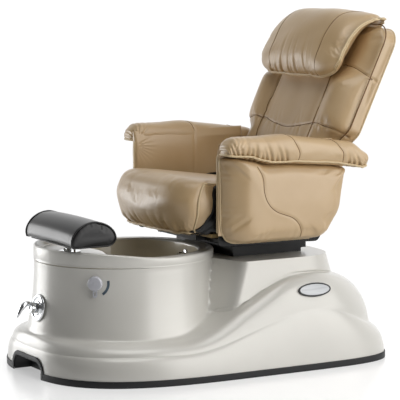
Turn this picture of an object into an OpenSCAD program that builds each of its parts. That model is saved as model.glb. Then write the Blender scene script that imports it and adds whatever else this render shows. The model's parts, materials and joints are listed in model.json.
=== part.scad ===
// Pedicure spa chair: a moulded foot tub on a skirted plinth, with a reclining leather chair
// that slides on a steel bed over the rear of the plinth.
// Y runs from the toe notch at the front (-Y) to the back of the chair (+Y), and +X is the
// sitter's left. Places along Y are measured from the front of the kick strip, and stand()
// then moves everything so that the origin is under the middle of the whole chair.

/* [Plinth] */
// Length of the plinth over its kick strip
base_len = 1520; // [1500:5:1540]
// Width of the plinth over its kick strip
base_w = 1030; // [1010:5:1060]
// Height of the plinth's deck, which carries the tub's lip and the chair
deck_h = 450; // [446:1:458]
// Thickness of the moulded plinth
shell_t = 6; // [5:0.5:8]
// Height of the rubber kick strip
kick_h = 27; // [22:1:32]
// How far the kick strip stands proud of the plinth
kick_t = 4; // [3:0.5:6]
// Lowest height of the lower skirt's crease, along the front
low_crease_h = 114; // [108:1:120]
// How much the lower skirt's crease climbs to its hump
low_crease_rise = 131; // [120:1:140]
// Lowest height of the upper skirt's crease, along the front
top_crease_h = 163; // [158:1:168]
// How much the upper skirt's crease climbs to its hump
top_crease_rise = 225; // [215:1:232]
// Half width of the chair pedestal at the deck
pedestal_half = 380; // [370:1:390]
// Place of the pedestal's rear edge at the deck
pedestal_rear = 1276; // [1266:1:1286]

/* [Toe notch] */
// Half width of the arched toe notch
notch_half = 128; // [115:1:140]
// Height of the toe notch
notch_h = 66; // [60:1:72]
// Depth of the toe notch
notch_deep = 85; // [70:1:95]
// Width of the rubber trim round the notch
trim_w = 19; // [14:1:22]

/* [Tub] */
// Half width of the tub's lip
tub_half = 340; // [334:1:346]
// Half length of the tub's lip
tub_long = 380; // [374:1:384]
// Place of the tub's centre
tub_y = 450; // [447:1:453]
// Height of the tub's lip over the deck
lip_h = 36; // [30:1:40]
// Thickness of the tub's wall
tub_t = 5; // [4:0.5:7]
// Half width of the foot well's mouth
well_half = 285; // [275:1:290]
// Distance from the tub's centre back to the well's rear edge
well_back = 298; // [285:1:305]
// Distance from the tub's centre forward to the well's front edge
well_front = 150; // [140:1:160]
// Height of the well's floor
well_floor = 205; // [195:1:220]

/* [Footrest] */
// Half length of the footrest cushion
foot_half = 212; // [190:1:225]
// Height of the footrest cushion
foot_pad_h = 98; // [85:1:110]
// Diameter of the footrest post
post_d = 32; // [28:1:38]
// Place of the footrest post
post_y = 200; // [195:1:206]
// Travel of the footrest post
post_travel = 60; // [40:5:70]
// Height of the footrest's lower face over the tub's lip
foot_gap = 41; // [36:1:50]

/* [Mixer and knob] */
// Drop of the mixer valve below the deck
mixer_drop = 182; // [174:1:188]
// Diameter of the mixer's cover plate
mixer_plate_d = 112; // [100:1:120]
// Length of the mixer's lever
lever_len = 92; // [80:1:100]
// Diameter of the drain knob
knob_d = 60; // [52:1:66]
// Drop of the drain knob below the deck
knob_drop = 57; // [45:1:70]

/* [Slide] */
// Half width of the slide bed
bed_half = 232; // [222:1:238]
// Length of the slide bed's lower plate
bed_len = 332; // [325:1:340]
// Thickness of the slide bed's lower plate
bed_t = 16; // [12:1:18]
// Height of the slide bed's upper box
box_h = 26; // [22:1:28]
// Width of each slide rail
rail_w = 30; // [24:1:34]
// Height of each slide rail
rail_h = 12; // [10:1:14]
// Forward travel of the chair
slide_out = 80; // [60:5:80]

/* [Chair] */
// Half width of the seat cushion
seat_half = 310; // [300:1:314]
// Height of the seat cushion's front edge
seat_h = 785; // [775:1:795]
// Distance from the middle of the chair to an arm's inner face
arm_in = 362; // [360:1:368]
// Thickness of an arm's side panel
arm_t = 78; // [70:1:84]
// Height of an arm's soft top
arm_h = 962; // [955:1:968]
// Height of the lower edge of an arm's panel
arm_low = 528; // [526:1:534]
// Greatest half width of the back cushion
back_half = 380; // [370:1:384]
// Half width of the back cushion between the arms
waist_half = 322; // [310:1:325]
// Height of the back cushion along the back
back_len = 855; // [840:5:870]
// Thickness of the back cushion's boxing
back_t = 57; // [50:1:62]
// Tilt of the back from upright
back_tilt = 25.5; // [24:0.5:27]
// Half width of the head pillow
pillow_half = 310; // [290:1:320]

/* [Hidden] */

$fn = 48;
rim_h = deck_h + lip_h;
mixer_h = deck_h - mixer_drop;
knob_h = deck_h - knob_drop;
fit = 0.2;            // gap where two pieces sit face to face
run = 0.05;           // radial gap of a running fit
front_reach = 36;     // how far the mixer lever stands in front of the kick strip
rear_reach = 1637;    // rearmost point of the back cover
mid_y = (rear_reach - front_reach) / 2;

cols = 96;            // columns round a moulded surface
base_half = base_w / 2;
skirt_y = 750;        // widest place of the skirts
leather = "#b59f78";
black = "#1b1b1d";
gelcoat = "#d9d6cc";
steel = "#8c8f92";
chrome = "#c9ccd0";

// ---- shared geometry ----

module stand() translate([0, -mid_y, 0]) children();

function ramp(a, b, x) = let (t = min(1, max(0, (x - a) / (b - a)))) t * t * (3 - 2 * t);
function spow(x, p) = sign(x) * pow(abs(x), p);
function mix(a, b, t) = a + (b - a) * t;
function unit(v) = v / norm(v);

// Rounded corner of radius r at b, between a and c, as n + 1 points.
function corner(a, b, c, r, n) =
    let (u = unit(a - b), w = unit(c - b), g = acos(u * w), m = b + unit(u + w) * r / sin(g / 2),
         s = (b + u * r / tan(g / 2) - m), e = (b + w * r / tan(g / 2) - m), f = 180 - g)
    [for (i = [0:n]) m + (sin((1 - i / n) * f) * s + sin(i / n * f) * e) / sin(f)];

// Outline through [x, y, radius] corners.
function rounded(p, n = 5) = [
    for (i = [0:len(p) - 1])
        let (a = p[(i + len(p) - 1) % len(p)], b = p[i], c = p[(i + 1) % len(p)])
        each corner([a.x, a.y], [b.x, b.y], [c.x, c.y], b.z, n)
];

function mean(p, k) = (min([for (q = p) q[k]]) + max([for (q = p) q[k]])) / 2;
function middle(p) = [mean(p, 0), mean(p, 1)];
// Outline drawn in towards its middle by d.
function drawn_in(p, d) =
    let (m = middle(p), hx = max([for (q = p) q.x]) - m.x, hy = max([for (q = p) q.y]) - m.y)
    [for (q = p) [m.x + (q.x - m.x) * (1 - d / hx), m.y + (q.y - m.y) * (1 - d / hy)]];
// Twice the area of an outline, positive when it runs anticlockwise.
function turn(p, i = 0) = i == len(p) ? 0 :
    let (a = p[i], b = p[(i + 1) % len(p)]) a.x * b.y - b.x * a.y + turn(p, i + 1);
function anticlockwise(p) = turn(p) > 0 ? p : [for (i = [len(p) - 1:-1:0]) p[i]];

// Closed solid through a stack of rings, each with the same number of points. Each end is closed
// by triangles to its middle.
module loft(rings) {
    n = len(rings[0]);
    m = len(rings);
    ends = [for (r = [rings[0], rings[m - 1]]) [for (k = [0:2]) mean(r, k)]];
    polyhedron(
        concat([for (r = rings) each r], ends),
        concat(
            [for (i = [0:n - 1]) [m * n, i, (i + 1) % n]],
            [for (j = [0:m - 2], i = [0:n - 1], k = [0:1])
                let (a = j * n + i, b = j * n + (i + 1) % n, c = a + n, d = b + n)
                k == 0 ? [a, c, b] : [b, c, d]],
            [for (i = [0:n - 1]) [m * n + 1, (m - 1) * n + (i + 1) % n, (m - 1) * n + i]]
        )
    );
}

// Closed skin through a stack of rings whose last ring joins the first.
module skin(rings) {
    n = len(rings[0]);
    m = len(rings);
    polyhedron(
        [for (r = rings) each r],
        [for (j = [0:m - 1], i = [0:n - 1], k = [0:1])
            let (a = j * n + i, b = j * n + (i + 1) % n, c = (a + n) % (m * n), d = (b + n) % (m * n))
            k == 0 ? [a, c, b] : [b, c, d]]
    );
}

// Soft pad: a [y, z] outline carried from x0 to x1, with both edges rounded to radius r. Its
// front end falls back by nose on the way to x1.
module pad_across(outline, x0, x1, r, nose = 0) {
    p = anticlockwise(outline);
    y0 = min([for (q = p) q.x]);
    rings = concat(
        [for (a = [0:30:90]) [x0 + r - r * cos(a), r - r * sin(a)]],
        [for (a = [90:-30:0]) [x1 - r + r * cos(a), r - r * sin(a)]]
    );
    loft([for (s = rings)
        let (back = nose * pow((s[0] - x0) / (x1 - x0), 2))
        [for (q = drawn_in(p, s[1])) [s[0], q.x + back * (1 - ramp(y0, y0 + 200, q.x)), q.y]]]);
}

// Solid that carries an [x, z] outline forward through [y, inset] steps.
module pad_forward(outline, steps) {
    p = anticlockwise(outline);
    loft([for (s = steps) [for (q = drawn_in(p, s[1])) [q.x, -s[0], q.y]]]);
}

// Straight pipe runs of diameter d with ball fittings at the bends.
module pipe_run(route, d) {
    for (i = [0:len(route) - 2]) {
        v = route[i + 1] - route[i];
        translate(route[i]) rotate([0, acos(v.z / norm(v)), atan2(v.y, v.x)]) cylinder(d = d, h = norm(v));
    }
    for (i = [1:1:len(route) - 2]) translate(route[i]) sphere(d = d + 2);
}

// One pipe of diameter d whose bends are mitred: each ring is the last one carried along its run
// on to the plane that halves the bend.
function mitre(route, i) =
    let (last = len(route) - 1, before = unit(route[max(i, 1)] - route[max(i, 1) - 1]),
         after = unit(route[min(i + 1, last)] - route[min(i, last - 1)]))
    unit(before + after);
function carried(ring, route, i) = i == len(route) ? [] :
    let (v = route[i] - route[i - 1], n = mitre(route, i),
         next = [for (p = ring) p + v * (((route[i] - p) * n) / (v * n))])
    concat([next], carried(next, route, i + 1));
module bent_pipe(route, d) {
    v = unit(route[1] - route[0]);
    a = unit(cross(v, [0, 0, 1]));
    b = cross(v, a);
    ring = [for (t = [0:18:342]) route[0] + (a * cos(t) + b * sin(t)) * d / 2];
    loft(concat([ring], carried(ring, route, 1)));
}

module box(x, y, z) translate([x[0], y[0], z[0]]) cube([x[1] - x[0], y[1] - y[0], z[1] - z[0]]);
module both_sides() { children(); mirror([1, 0, 0]) children(); }

// ---- plinth ----

// A skirt outline is [half width, front, rear, nose exponent, tail exponent].
kick_line = [base_half, 0, base_len, 3, 6];
foot_line = [base_half - kick_t, kick_t, base_len - kick_t, 3, 6];
low_line = [base_half - 31, 13, base_len - 54, 2.8, 5];
top_line = [base_half - 112, 36, base_len - 212, 2.6, 5];

function inset(s, d) = [s[0] - d, s[1] + d, s[2] - d, s[3], s[4]];
function skirt_point(t, s) =
    let (front = sin(t) < 0, k = 2 / (front ? s[3] : s[4]), b = front ? skirt_y - s[1] : s[2] - skirt_y)
    [s[0] * spow(cos(t), k), skirt_y + b * spow(sin(t), k)];
function skirt_outline(s, n = cols) = [for (i = [0:n - 1]) skirt_point(i * 360 / n - 90, s)];

function low_crease(y) = low_crease_h + low_crease_rise * ramp(480, 1080, y) - 105 * ramp(1120, 1480, y);
function top_crease(y) = top_crease_h + top_crease_rise * ramp(490, 1060, y) - 35 * ramp(1130, 1350, y);

// Ring of one skirt layer: share 0 is the foot of its shoulder and share 1 is its crease.
function shoulder(lower, upper, share, start, crease, n) = [
    for (i = [0:n - 1])
        let (t = i * 360 / n - 90, a = 90 * share,
             p = mix(skirt_point(t, lower), skirt_point(t, upper), 1 - cos(a)))
        [p.x, p.y, mix(start(p.y), crease(p.y), sin(a))]
];
// Half width of the tub's drum and of the pedestal behind it, at y and height z.
function flare(z) = pow(min(1, max(0, (deck_h - z) / (deck_h - 150))), 2.2);
function drum_at(y, z, d) =
    let (b = tub_long - 2 + 35 * flare(z) - d, u = (y - tub_y) / b)
    abs(u) < 1 ? (tub_half - 2 + 45 * flare(z) - d) * sqrt(1 - u * u) : 0;
function drum_front(z) = tub_y - (tub_long - 2 + 35 * flare(z));
function tower_rear(z, d) = pedestal_rear + 0.3 * (deck_h - max(z, 300)) - d;
function lean(z) = 0.33 * (deck_h - max(z, 150));
function pedestal_at(y, z, d) =
    let (r = tower_rear(z, d), u = max(0, (y - 900) / (r - 900)))
    u < 1 ? (pedestal_half + 0.1 * (deck_h - z) - d) * pow(1 - pow(u, 5), 0.2)
            * ramp(660 - lean(z), 820 - lean(z), y) : 0;
function drum_ring(z, d) = [for (i = [0:cols - 1])
    [(tub_half - 2 + 45 * flare(z) - d) * cos(i * 360 / cols),
        tub_y + (tub_long - 2 + 35 * flare(z) - d) * sin(i * 360 / cols), z]];
// Place of a tower column: 22 columns run back along the drum, 14 through the waist and 12 along
// the pedestal.
function column_y(i, z, d) =
    let (f = drum_front(z) + d, w = 600 - lean(z), r = tower_rear(z, d))
    i < 22 ? mix(f, w, 1 - cos(90 * i / 22)) :
    i < 36 ? w + 260 * (i - 22) / 14 : mix(w + 260, r, sin(90 * (i - 36) / 12));
// Ring of the tower: share 0 follows the upper skirt's crease and share 1 lies at height top.
function tower_ring(share, d, top) =
    let (half = [for (i = [0:48])
        let (z = mix(top_crease(column_y(i, 260, 0)) - d, top, share), y = column_y(i, z, d),
             a = drum_at(y, z, d), b = pedestal_at(y, z, d))
        [pow(pow(a, 12) + pow(b, 12), 1 / 12), y, z]])
    concat(half, [for (i = [47:-1:1]) [-half[i].x, half[i].y, half[i].z]]);

module notch_arch(w, h) {
    r = h * 0.75;
    polygon(rounded([[-w, -h / 2, 1], [w, -h / 2, 1], [w, h, r], [-w, h, r]], 8));
}
module notch_cut(w, h, y0, y1) translate([0, y1, 0]) rotate([90, 0, 0])
    linear_extrude(y1 - y0) notch_arch(w, h);

function well_outline(d, n = 48) = [
    for (i = [0:n - 1])
        let (t = i * 360 / n - 90, front = sin(t) < 0, k = 2 / (front ? 3 : 2.3),
             x = (well_half - d) * spow(cos(t), k),
             y = (front ? well_front - d : well_back - d) * spow(sin(t), k))
        [x, tub_y + y + (front ? 38 * (1 - ramp(0, 170, abs(x))) * pow(-sin(t), 2) : 0)]
];
// The well's wall draws in by well_lean down to its floor, with a round foot.
well_lean = 40;
well_foot = 45;
function well_ring(z, d) =
    let (u = (rim_h - z) / (rim_h - well_floor), f = max(0, well_floor + well_foot - z),
         round_in = well_foot - sqrt(max(0, well_foot * well_foot - f * f)))
    [for (q = well_outline(well_lean * u + round_in - d)) [q.x, q.y, z]];
well_levels = [for (k = [0:6]) well_floor + well_foot * (1 - cos(k * 15))];

// Rings of the plinth from its foot up to its deck, drawn in by d from the outer face.
function plinth_rings(d, foot_z, top) = concat(
    [[for (p = skirt_outline(inset(foot_line, d))) [p.x, p.y, foot_z]]],
    [for (j = [0:5]) shoulder(inset(foot_line, d), inset(low_line, d), j / 5,
        function(y) kick_h + 4, function(y) low_crease(y) - d, cols)],
    [for (j = [1:6]) shoulder(inset(low_line, d), inset(top_line, d), j / 6,
        function(y) low_crease(y) - d, function(y) top_crease(y) - d, cols)],
    [for (j = [0:5]) tower_ring(j / 5, d, top)]
);
function backward(rings) = [for (i = [len(rings) - 1:-1:0]) rings[i]];

module base_shell() color(gelcoat) stand() difference() {
    union() {
        skin(concat(plinth_rings(0, 2, deck_h),
            [for (z = [deck_h, deck_h - shell_t]) [for (p = tower_ring(1, 0, z))
                [0.08 * p.x, mix(700, p.y, 0.08), z]]],
            backward(plinth_rings(shell_t, 2, deck_h - shell_t))));
        translate(mixer_spot) rotate(mixer_turn) translate([0, 0, -11])
            cylinder(d = mixer_plate_d + 8, h = 13);
    }
    translate([0, 0, deck_h - 2 * shell_t]) linear_extrude(4 * shell_t)
        polygon(well_outline(-tub_t - 4));
    notch_cut(notch_half + 3, notch_h + 3, -9, 40);
    for (p = [[mixer_spot, mixer_turn, 44], [knob_spot, knob_turn, 19]])
        translate(p[0]) rotate(p[1]) translate([0, 0, -30]) cylinder(d = p[2], h = 60);
    translate([0, post_y, deck_h - 20]) cylinder(d = post_d + 24, h = 40);
}

module kick_strip() color(black) stand() difference() {
    intersection() {
        linear_extrude(notch_h + trim_w) difference() {
            polygon(skirt_outline(kick_line));
            polygon(skirt_outline(inset(foot_line, -fit)));
        }
        union() {
            box([-base_w, base_w], [-9, base_len + 9], [0, kick_h]);
            notch_cut(notch_half + trim_w, notch_h + trim_w, -9, 40);
        }
    }
    notch_cut(notch_half, notch_h, -20, 60);
}

module toe_recess() color(black) stand() difference() {
    intersection() {
        notch_cut(notch_half + 3 - fit, notch_h + 3 - fit, kick_t + 6, notch_deep);
        box([-base_w, base_w], [0, base_len], [2, deck_h]);
    }
    notch_cut(notch_half, notch_h, -9, notch_deep - 3);
}

// ---- chassis inside the plinth ----
tube = 40;
rail_x = 230;
rail_z = 26;
post_rows = [850, 1150];
module steel_chassis() color(steel) stand() {
    top = deck_h - shell_t - fit;
    both_sides() {
        box([rail_x - tube / 2, rail_x + tube / 2], [130, 1400], [rail_z, rail_z + tube]);
        box([rail_x - tube / 2, rail_x + tube / 2], [post_rows[0], post_rows[1] + tube], [top - tube, top]);
        for (y = post_rows)
            box([rail_x - tube / 2, rail_x + tube / 2], [y, y + tube], [rail_z, top]);
    }
    for (y = [130, post_rows[0], post_rows[1], 1400 - tube])
        box([-rail_x, rail_x], [y, y + tube], [rail_z, rail_z + tube]);
    for (y = post_rows) box([-rail_x, rail_x], [y, y + tube], [top - tube, top]);
}

module floor_feet() color(black) stand() both_sides()
    for (y = [150, 765, 1380]) translate([rail_x, y, 0]) {
        cylinder(d = 52, h = 9);
        cylinder(d = 12, h = rail_z);
    }

// ---- tub ----
spout_h = 436;
jet_h = 290;
jet_y = 470;
drain_y = 500;
function well_side(z) = well_half - well_lean * (rim_h - z) / (rim_h - well_floor);
function lip_ring(d, z) = [for (i = [0:63])
    [(tub_half - d) * cos(i * 5.625 - 90), tub_y + (tub_long - d) * sin(i * 5.625 - 90), z]];

module tub_basin() color("#e4e1d8") stand() difference() {
    union() {
        difference() {
            loft([lip_ring(0, deck_h + fit), lip_ring(0, rim_h - 8), lip_ring(2.5, rim_h - 2.5),
                lip_ring(8, rim_h)]);
            loft([lip_ring(tub_t, deck_h - 9), lip_ring(tub_t, rim_h - tub_t - 6),
                lip_ring(tub_t + 6, rim_h - tub_t)]);
        }
        loft(concat([for (z = well_levels) [for (q = well_ring(z, tub_t)) q - [0, 0, tub_t]]],
            [well_ring(rim_h - 1, tub_t)]));
    }
    loft(concat([for (z = well_levels) well_ring(z, 0)],
        [for (z = [rim_h - 8, rim_h - 2]) well_ring(z, 0)],
        [[for (q = well_outline(-5)) [q.x, q.y, rim_h + 1]]]));
    translate([0, post_y, deck_h]) cylinder(d = post_d + 14, h = 60);
    translate([0, drain_y, well_floor - 20]) cylinder(d = 44, h = 40);
    translate([0, spout_y, spout_h]) rotate([90 - wall_lean, 0, 0]) translate([0, 0, -30])
        cylinder(d = 15, h = 50);
    translate([-well_side(jet_h), jet_y, jet_h]) rotate([0, 90 - wall_lean, 0]) translate([0, 0, -20])
        cylinder(d = 52, h = 40);
}

// ---- drain ----
shank_z = 160;
valve_z = 118;
module drain_strainer() color(chrome) stand() translate([0, drain_y, 0]) {
    difference() {
        union() {
            translate([0, 0, shank_z]) cylinder(d = 43.4, h = well_floor - shank_z + 2);
            translate([0, 0, well_floor + fit]) cylinder(d = 66, h = 3.5);
            translate([0, 0, well_floor - tub_t - 12 - fit]) cylinder(d = 60, h = 12);
        }
        translate([0, 0, shank_z - 5]) cylinder(d = 34, h = 80);
    }
    for (a = [0, 60, 120]) rotate([0, 0, a]) translate([-19, -2, well_floor - 3]) cube([38, 4, 5]);
}

module drain_valve() color("#8a7a45") stand() translate([0, drain_y, 0]) difference() {
    union() {
        translate([-30, -30, valve_z]) cube([60, 60, shank_z - valve_z - fit]);
        translate([20, -26, valve_z + 20]) rotate([0, 90, 0]) cylinder(d = 30, h = 22);
    }
    translate([0, 0, valve_z - 5]) cylinder(d = 34, h = 80);
}

module drain_pipe() color("#d2d2cf") stand() translate([0, drain_y, 14]) difference() {
    cylinder(d = 48, h = valve_z - 14 - fit);
    translate([0, 0, -5]) cylinder(d = 42, h = 140);
}

// ---- drain knob on the drum's near front quarter ----
knob_at = -43;
knob_a = tub_half - 2 + 45 * flare(knob_h);
knob_b = tub_long - 2 + 35 * flare(knob_h);
knob_spot = [knob_a * cos(knob_at), tub_y + knob_b * sin(knob_at), knob_h];
knob_face = atan2(sin(knob_at) / knob_b, cos(knob_at) / knob_a);
knob_turn = [0, 90, knob_face];
knob_out = [cos(knob_face), sin(knob_face), 0];
module at_knob() stand() translate(knob_spot) rotate(knob_turn) children();

module knob_housing() color(chrome) at_knob() difference() {
    union() {
        translate([0, 0, 2]) cylinder(d = knob_d - 10, h = 3.4);
        translate([0, 0, -12]) cylinder(d = 18, h = 14);
        translate([0, 0, -42]) cylinder(d = 40, h = 42 - shell_t - 3);
    }
    translate([0, 0, -36]) cylinder(d = 10 + 2 * run, h = 60);
    translate([0, 0, -34]) cylinder(d = 26, h = 20);
}

module drain_knob() color("#cfd1d2") at_knob() {
    rotate_extrude() polygon([[0, -33], [5, -33], [5, 5.7], [knob_d / 2 - 1, 5.7], [knob_d / 2, 7],
        [knob_d / 2 - 1, 18], [knob_d / 2 - 4, 22], [0, 24]]);
    difference() {
        union() {
            translate([knob_d / 2 - 6, -9, 8]) cube([24, 18, 5]);
            translate([knob_d / 2 + 18, 0, 8]) cylinder(d = 18, h = 5);
        }
        translate([knob_d / 2 + 4, -3, 0]) cube([14, 6, 20]);
    }
}

module knob_scale() color("#39434e") stand() intersection() {
    difference() {
        loft([for (z = [320, 345, 370, 395, 420, deck_h - 1]) drum_ring(z, -1.8)]);
        loft([for (z = [310, 345, 370, 395, 420, deck_h]) drum_ring(z, -0.7)]);
    }
    translate(knob_spot) rotate(knob_turn) translate([0, 0, -30]) linear_extrude(50)
        polygon([for (a = [34:4:102]) 57 * [cos(a), sin(a)], for (a = [102:-4:34]) 47 * [cos(a), sin(a)]]);
}

module drain_cable() color(black) stand() pipe_run([
    knob_spot - 42.3 * knob_out, knob_spot - 62 * knob_out, [178, 262, 330], [172, 270, 190],
    [110, 400, valve_z + 20], [62, drain_y - 26, valve_z + 20], [42.3, drain_y - 26, valve_z + 20]], 6);

// ---- filling the tub ----
wall_lean = atan(well_lean / (rim_h - well_floor));
spout_y = tub_y + well_back - well_lean * (rim_h - spout_h) / (rim_h - well_floor);
module at_spout() stand() translate([0, spout_y, spout_h]) rotate([90 - wall_lean, 0, 0]) children();

module fill_spout() color(chrome) at_spout() {
    rotate_extrude() polygon([[0, -50], [7, -50], [7, 1.4], [22.5, 1.4], [22.5, 3.2], [20, 6], [11, 7],
        [11, 30], [9, 33], [0, 33]]);
}

mixer_u = (deck_h - mixer_h) / (deck_h - 150);
mixer_lean = atan(35 * 2.2 * pow(mixer_u, 1.2) / (deck_h - 150));
mixer_spot = [0, drum_front(mixer_h), mixer_h];
mixer_turn = [90 - mixer_lean, 0, 0];
mixer_in = [100, mixer_h - 6];
module at_mixer() stand() translate(mixer_spot) rotate(mixer_turn) children();

module mixer_body() color("#8a7a45") {
    at_mixer() {
        translate([-32, -32, -70]) cube([64, 64, 58.6]);
        translate([0, 0, -12]) cylinder(d = 40, h = 20);
        cylinder(d = 20, h = 22);
    }
    stand() {
        both_sides() translate([20, mixer_in[0], mixer_h - 48]) cylinder(d = 20, h = 20);
        translate([28, mixer_in[0], mixer_in[1]]) rotate([0, 90, 0]) cylinder(d = 22, h = 18);
    }
}

module supply_pipes() color("#b8734a") stand() both_sides() pipe_run([
    [160, 1330, 12], [160, 1330, 95], [160, 240, 95], [20, mixer_in[0], 150],
    [20, mixer_in[0], mixer_h - 48.3]], 15);

module mixed_pipe() color("#b8734a") stand() bent_pipe([
    [47.6, mixer_in[0] + 0.2, mixer_in[1]], [110, 110, mixer_in[1]], [170, 200, 230],
    [300, 380, 300], [300, 520, 300], [230, 700, 300], [100, 830, 300], [0, 830, 300],
    [0, 830, spout_h - 89 * sin(wall_lean)],
    [0, spout_y + 50.4 * cos(wall_lean), spout_h - 50.4 * sin(wall_lean)]], 16);

module mixer_plate() color(chrome) at_mixer() rotate_extrude() polygon([
    [20.2, 2.2], [mixer_plate_d / 2 - 1, 2.2], [mixer_plate_d / 2, 3.2], [mixer_plate_d / 2 - 2, 5.6],
    [mixer_plate_d / 2 - 10, 8.5], [mixer_plate_d / 2 - 22, 11], [22, 12], [20.2, 11.5]]);

pin_in = [32, 4];     // lever pin's height off the drum and its place above the hub's middle
module mixer_hub() color(chrome) at_mixer() difference() {
    rotate_extrude() polygon([[0, 12.4], [20, 12.4], [22, 15], [22, 39], [20, 42], [0, 42]]);
    cylinder(d = 20 + 2 * run, h = 22.3);
    translate([-7.2, -8, 23.5]) cube([14.4, 40, 30]);
    translate([-40, pin_in[1], pin_in[0]]) rotate([0, 90, 0]) cylinder(d = 6 + 2 * run, h = 80);
}

module crossbar(z, y, r, w) translate([-w / 2, y, z]) rotate([0, 90, 0]) cylinder(r = r, h = w, $fn = 32);
module mixer_lever() color(chrome) at_mixer() {
    crossbar(pin_in[0], pin_in[1], 3, 43);
    hull() {
        crossbar(pin_in[0], pin_in[1], 7, 14);
        crossbar(54, 18, 8, 14);
    }
    hull() {
        crossbar(54, 18, 8, 14);
        crossbar(54 + 0.41 * lever_len, 18 - 0.68 * lever_len, 5, 22);
    }
}

// ---- jet in the well's wall ----
module at_jet() stand() translate([-well_side(jet_h), jet_y, jet_h])
    rotate([0, 90 - wall_lean, 0]) children();

module jet_cover() color(chrome) at_jet() difference() {
    rotate_extrude() polygon([[0, 15], [34, 15], [39, 12], [42, 7], [42, 4.9], [38, 4.9], [36, 10],
        [32, 13], [0, 13]]);
    for (a = [0:45:315]) rotate([0, 0, a]) translate([24, 0, 0]) cylinder(d = 11, h = 30);
    cylinder(d = 16, h = 30);
}

module jet_impeller() color("#d2d2cf") at_jet() {
    translate([0, 0, -40]) cylinder(d = 8, h = 50);
    translate([0, 0, 3]) cylinder(d = 16, h = 7);
    for (a = [0:60:300]) rotate([0, 0, a]) translate([0, -1, 3.5]) cube([27, 2, 6]);
}

module jet_motor() color(black) at_jet() difference() {
    union() {
        translate([0, 0, -66]) cylinder(d = 62, h = 54);
        translate([0, 0, -13]) cylinder(d = 74, h = 6);
        translate([0, 0, -8]) cylinder(d = 51, h = 8);
        translate([0, 0, -0.1]) cylinder(d = 40, h = 2);
    }
    translate([0, 0, -45]) cylinder(d = 8 + 2 * run, h = 60);
}

module control_box() color(black) stand() {
    box([-120, 120], [post_rows[0] + 2, post_rows[1] + 38], [rail_z + tube + fit, rail_z + tube + 4]);
    box([-100, 100], [920, 1120], [rail_z + tube + 3, rail_z + tube + 90]);
}

// ---- bare oval plate on the upper skirt ----
badge_t = 9.5;
badge_a = 34;
badge_half = [77.5, 29];
badge_low = skirt_point(badge_t, low_line);
badge_top = skirt_point(badge_t, top_line);
badge_p = mix(badge_low, badge_top, 1 - cos(badge_a));
badge_spot = [badge_p.x, badge_p.y,
    mix(low_crease(badge_p.y), top_crease(badge_p.y), sin(badge_a))];
badge_lean = atan2((badge_low.x - badge_top.x) * sin(badge_a),
    (top_crease(badge_p.y) - low_crease(badge_p.y)) * cos(badge_a));
module at_badge() stand() translate(badge_spot) rotate([0, 90 - badge_lean, 0]) children();
module oval(d) polygon([for (a = [0:10:350]) [(badge_half[1] - d) * cos(a), (badge_half[0] - d) * sin(a)]]);

module name_plate() color("#b9bcbf") at_badge() translate([0, 0, 0.9]) linear_extrude(3.1) oval(6.2);
module name_plate_bezel() color(black) difference() {
    at_badge() translate([0, 0, -8]) linear_extrude(13) difference() {
        oval(0);
        oval(6);
    }
    stand() loft([for (j = [0:6]) shoulder(inset(low_line, -fit), inset(top_line, -fit), j / 6,
        function(y) low_crease(y) + fit, function(y) top_crease(y) + fit, cols)]);
}

// ---- footrest ----
foot_z = rim_h + foot_gap;
sleeve_len = 101;
module footrest_socket() color(chrome) stand() translate([0, post_y, 0]) difference() {
    union() {
        translate([0, 0, rim_h - sleeve_len]) cylinder(d = post_d + 12, h = sleeve_len + 5);
        translate([0, 0, rim_h + fit]) cylinder(d = 92, h = 6);
        translate([0, 0, rim_h + 5]) cylinder(d = post_d + 18, h = 10);
    }
    translate([0, 0, rim_h - sleeve_len - 5]) cylinder(d = post_d + 2 * run, h = sleeve_len + 39);
}

module footrest_post() color(chrome) stand() translate([0, post_y, 0]) {
    translate([0, 0, foot_z - 150]) cylinder(d = post_d, h = 150);
    translate([0, 0, foot_z - 8]) cylinder(d = post_d + 40, h = 8);
}

module footrest_plate() color("#5a4632") stand()
    box([-foot_half + 14, foot_half - 14], [post_y - 78, post_y + 76], [foot_z + fit, foot_z + 6]);

module footrest_pad() color(black) stand() {
    z = foot_z + 6.3;
    k = foot_pad_h / 98;
    pad_across(rounded([[post_y - 95, z + 6 * k, 5], [post_y - 82, z, 5], [post_y + 80, z, 10],
        [post_y + 105, z + 28 * k, 14], [post_y + 90, z + 68 * k, 30], [post_y + 7, z + 100 * k, 40],
        [post_y - 62, z + 73 * k, 60]], 4), -foot_half, foot_half, 9);
}

// ---- slide bed ----
bed_y = 838;
bed_z = deck_h + bed_t;
box_z = bed_z + box_h;
rail_top = box_z + rail_h;
rail_in = 190;
ram_z = box_z + 9.8;
carriage_z = rail_top + 8;
frame_z = carriage_z + 6;
module bed_plate() color(black) stand()
    box([-bed_half, bed_half], [bed_y, bed_y + bed_len], [deck_h + fit, bed_z]);
module rail_box() color(black) stand()
    box([-bed_half - 4, bed_half + 4], [bed_y - 6, bed_y + bed_len + 22], [bed_z + fit, box_z]);
module slide_rails() color(steel) stand() both_sides() difference() {
    box([rail_in - rail_w / 2, rail_in + rail_w / 2], [bed_y, bed_y + bed_len + 16], [box_z + fit, rail_top]);
    for (y = [bed_y + 30, bed_y + 174, bed_y + bed_len - 14]) translate([rail_in, y, rail_top - 4])
        cylinder(d = 10, h = 9);
}
module slide_motor() color(steel) stand() difference() {
    union() {
        translate([0, 1135, ram_z]) rotate([90, 0, 0]) cylinder(d = 18, h = 175);
        box([-32, 32], [1132, 1188], [box_z + fit, box_z + 18.5]);
    }
    translate([0, 1128, ram_z]) rotate([90, 0, 0]) cylinder(d = 8 + 2 * run, h = 200);
}
module slide_rod() color(chrome) stand() translate([0, 1090, ram_z]) rotate([90, 0, 0]) {
    cylinder(d = 8, h = 238);
    translate([0, 0, 210.2]) cylinder(d = 13, h = 2);
    translate([0, 0, 230]) cylinder(d = 13, h = 5);
}
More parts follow.
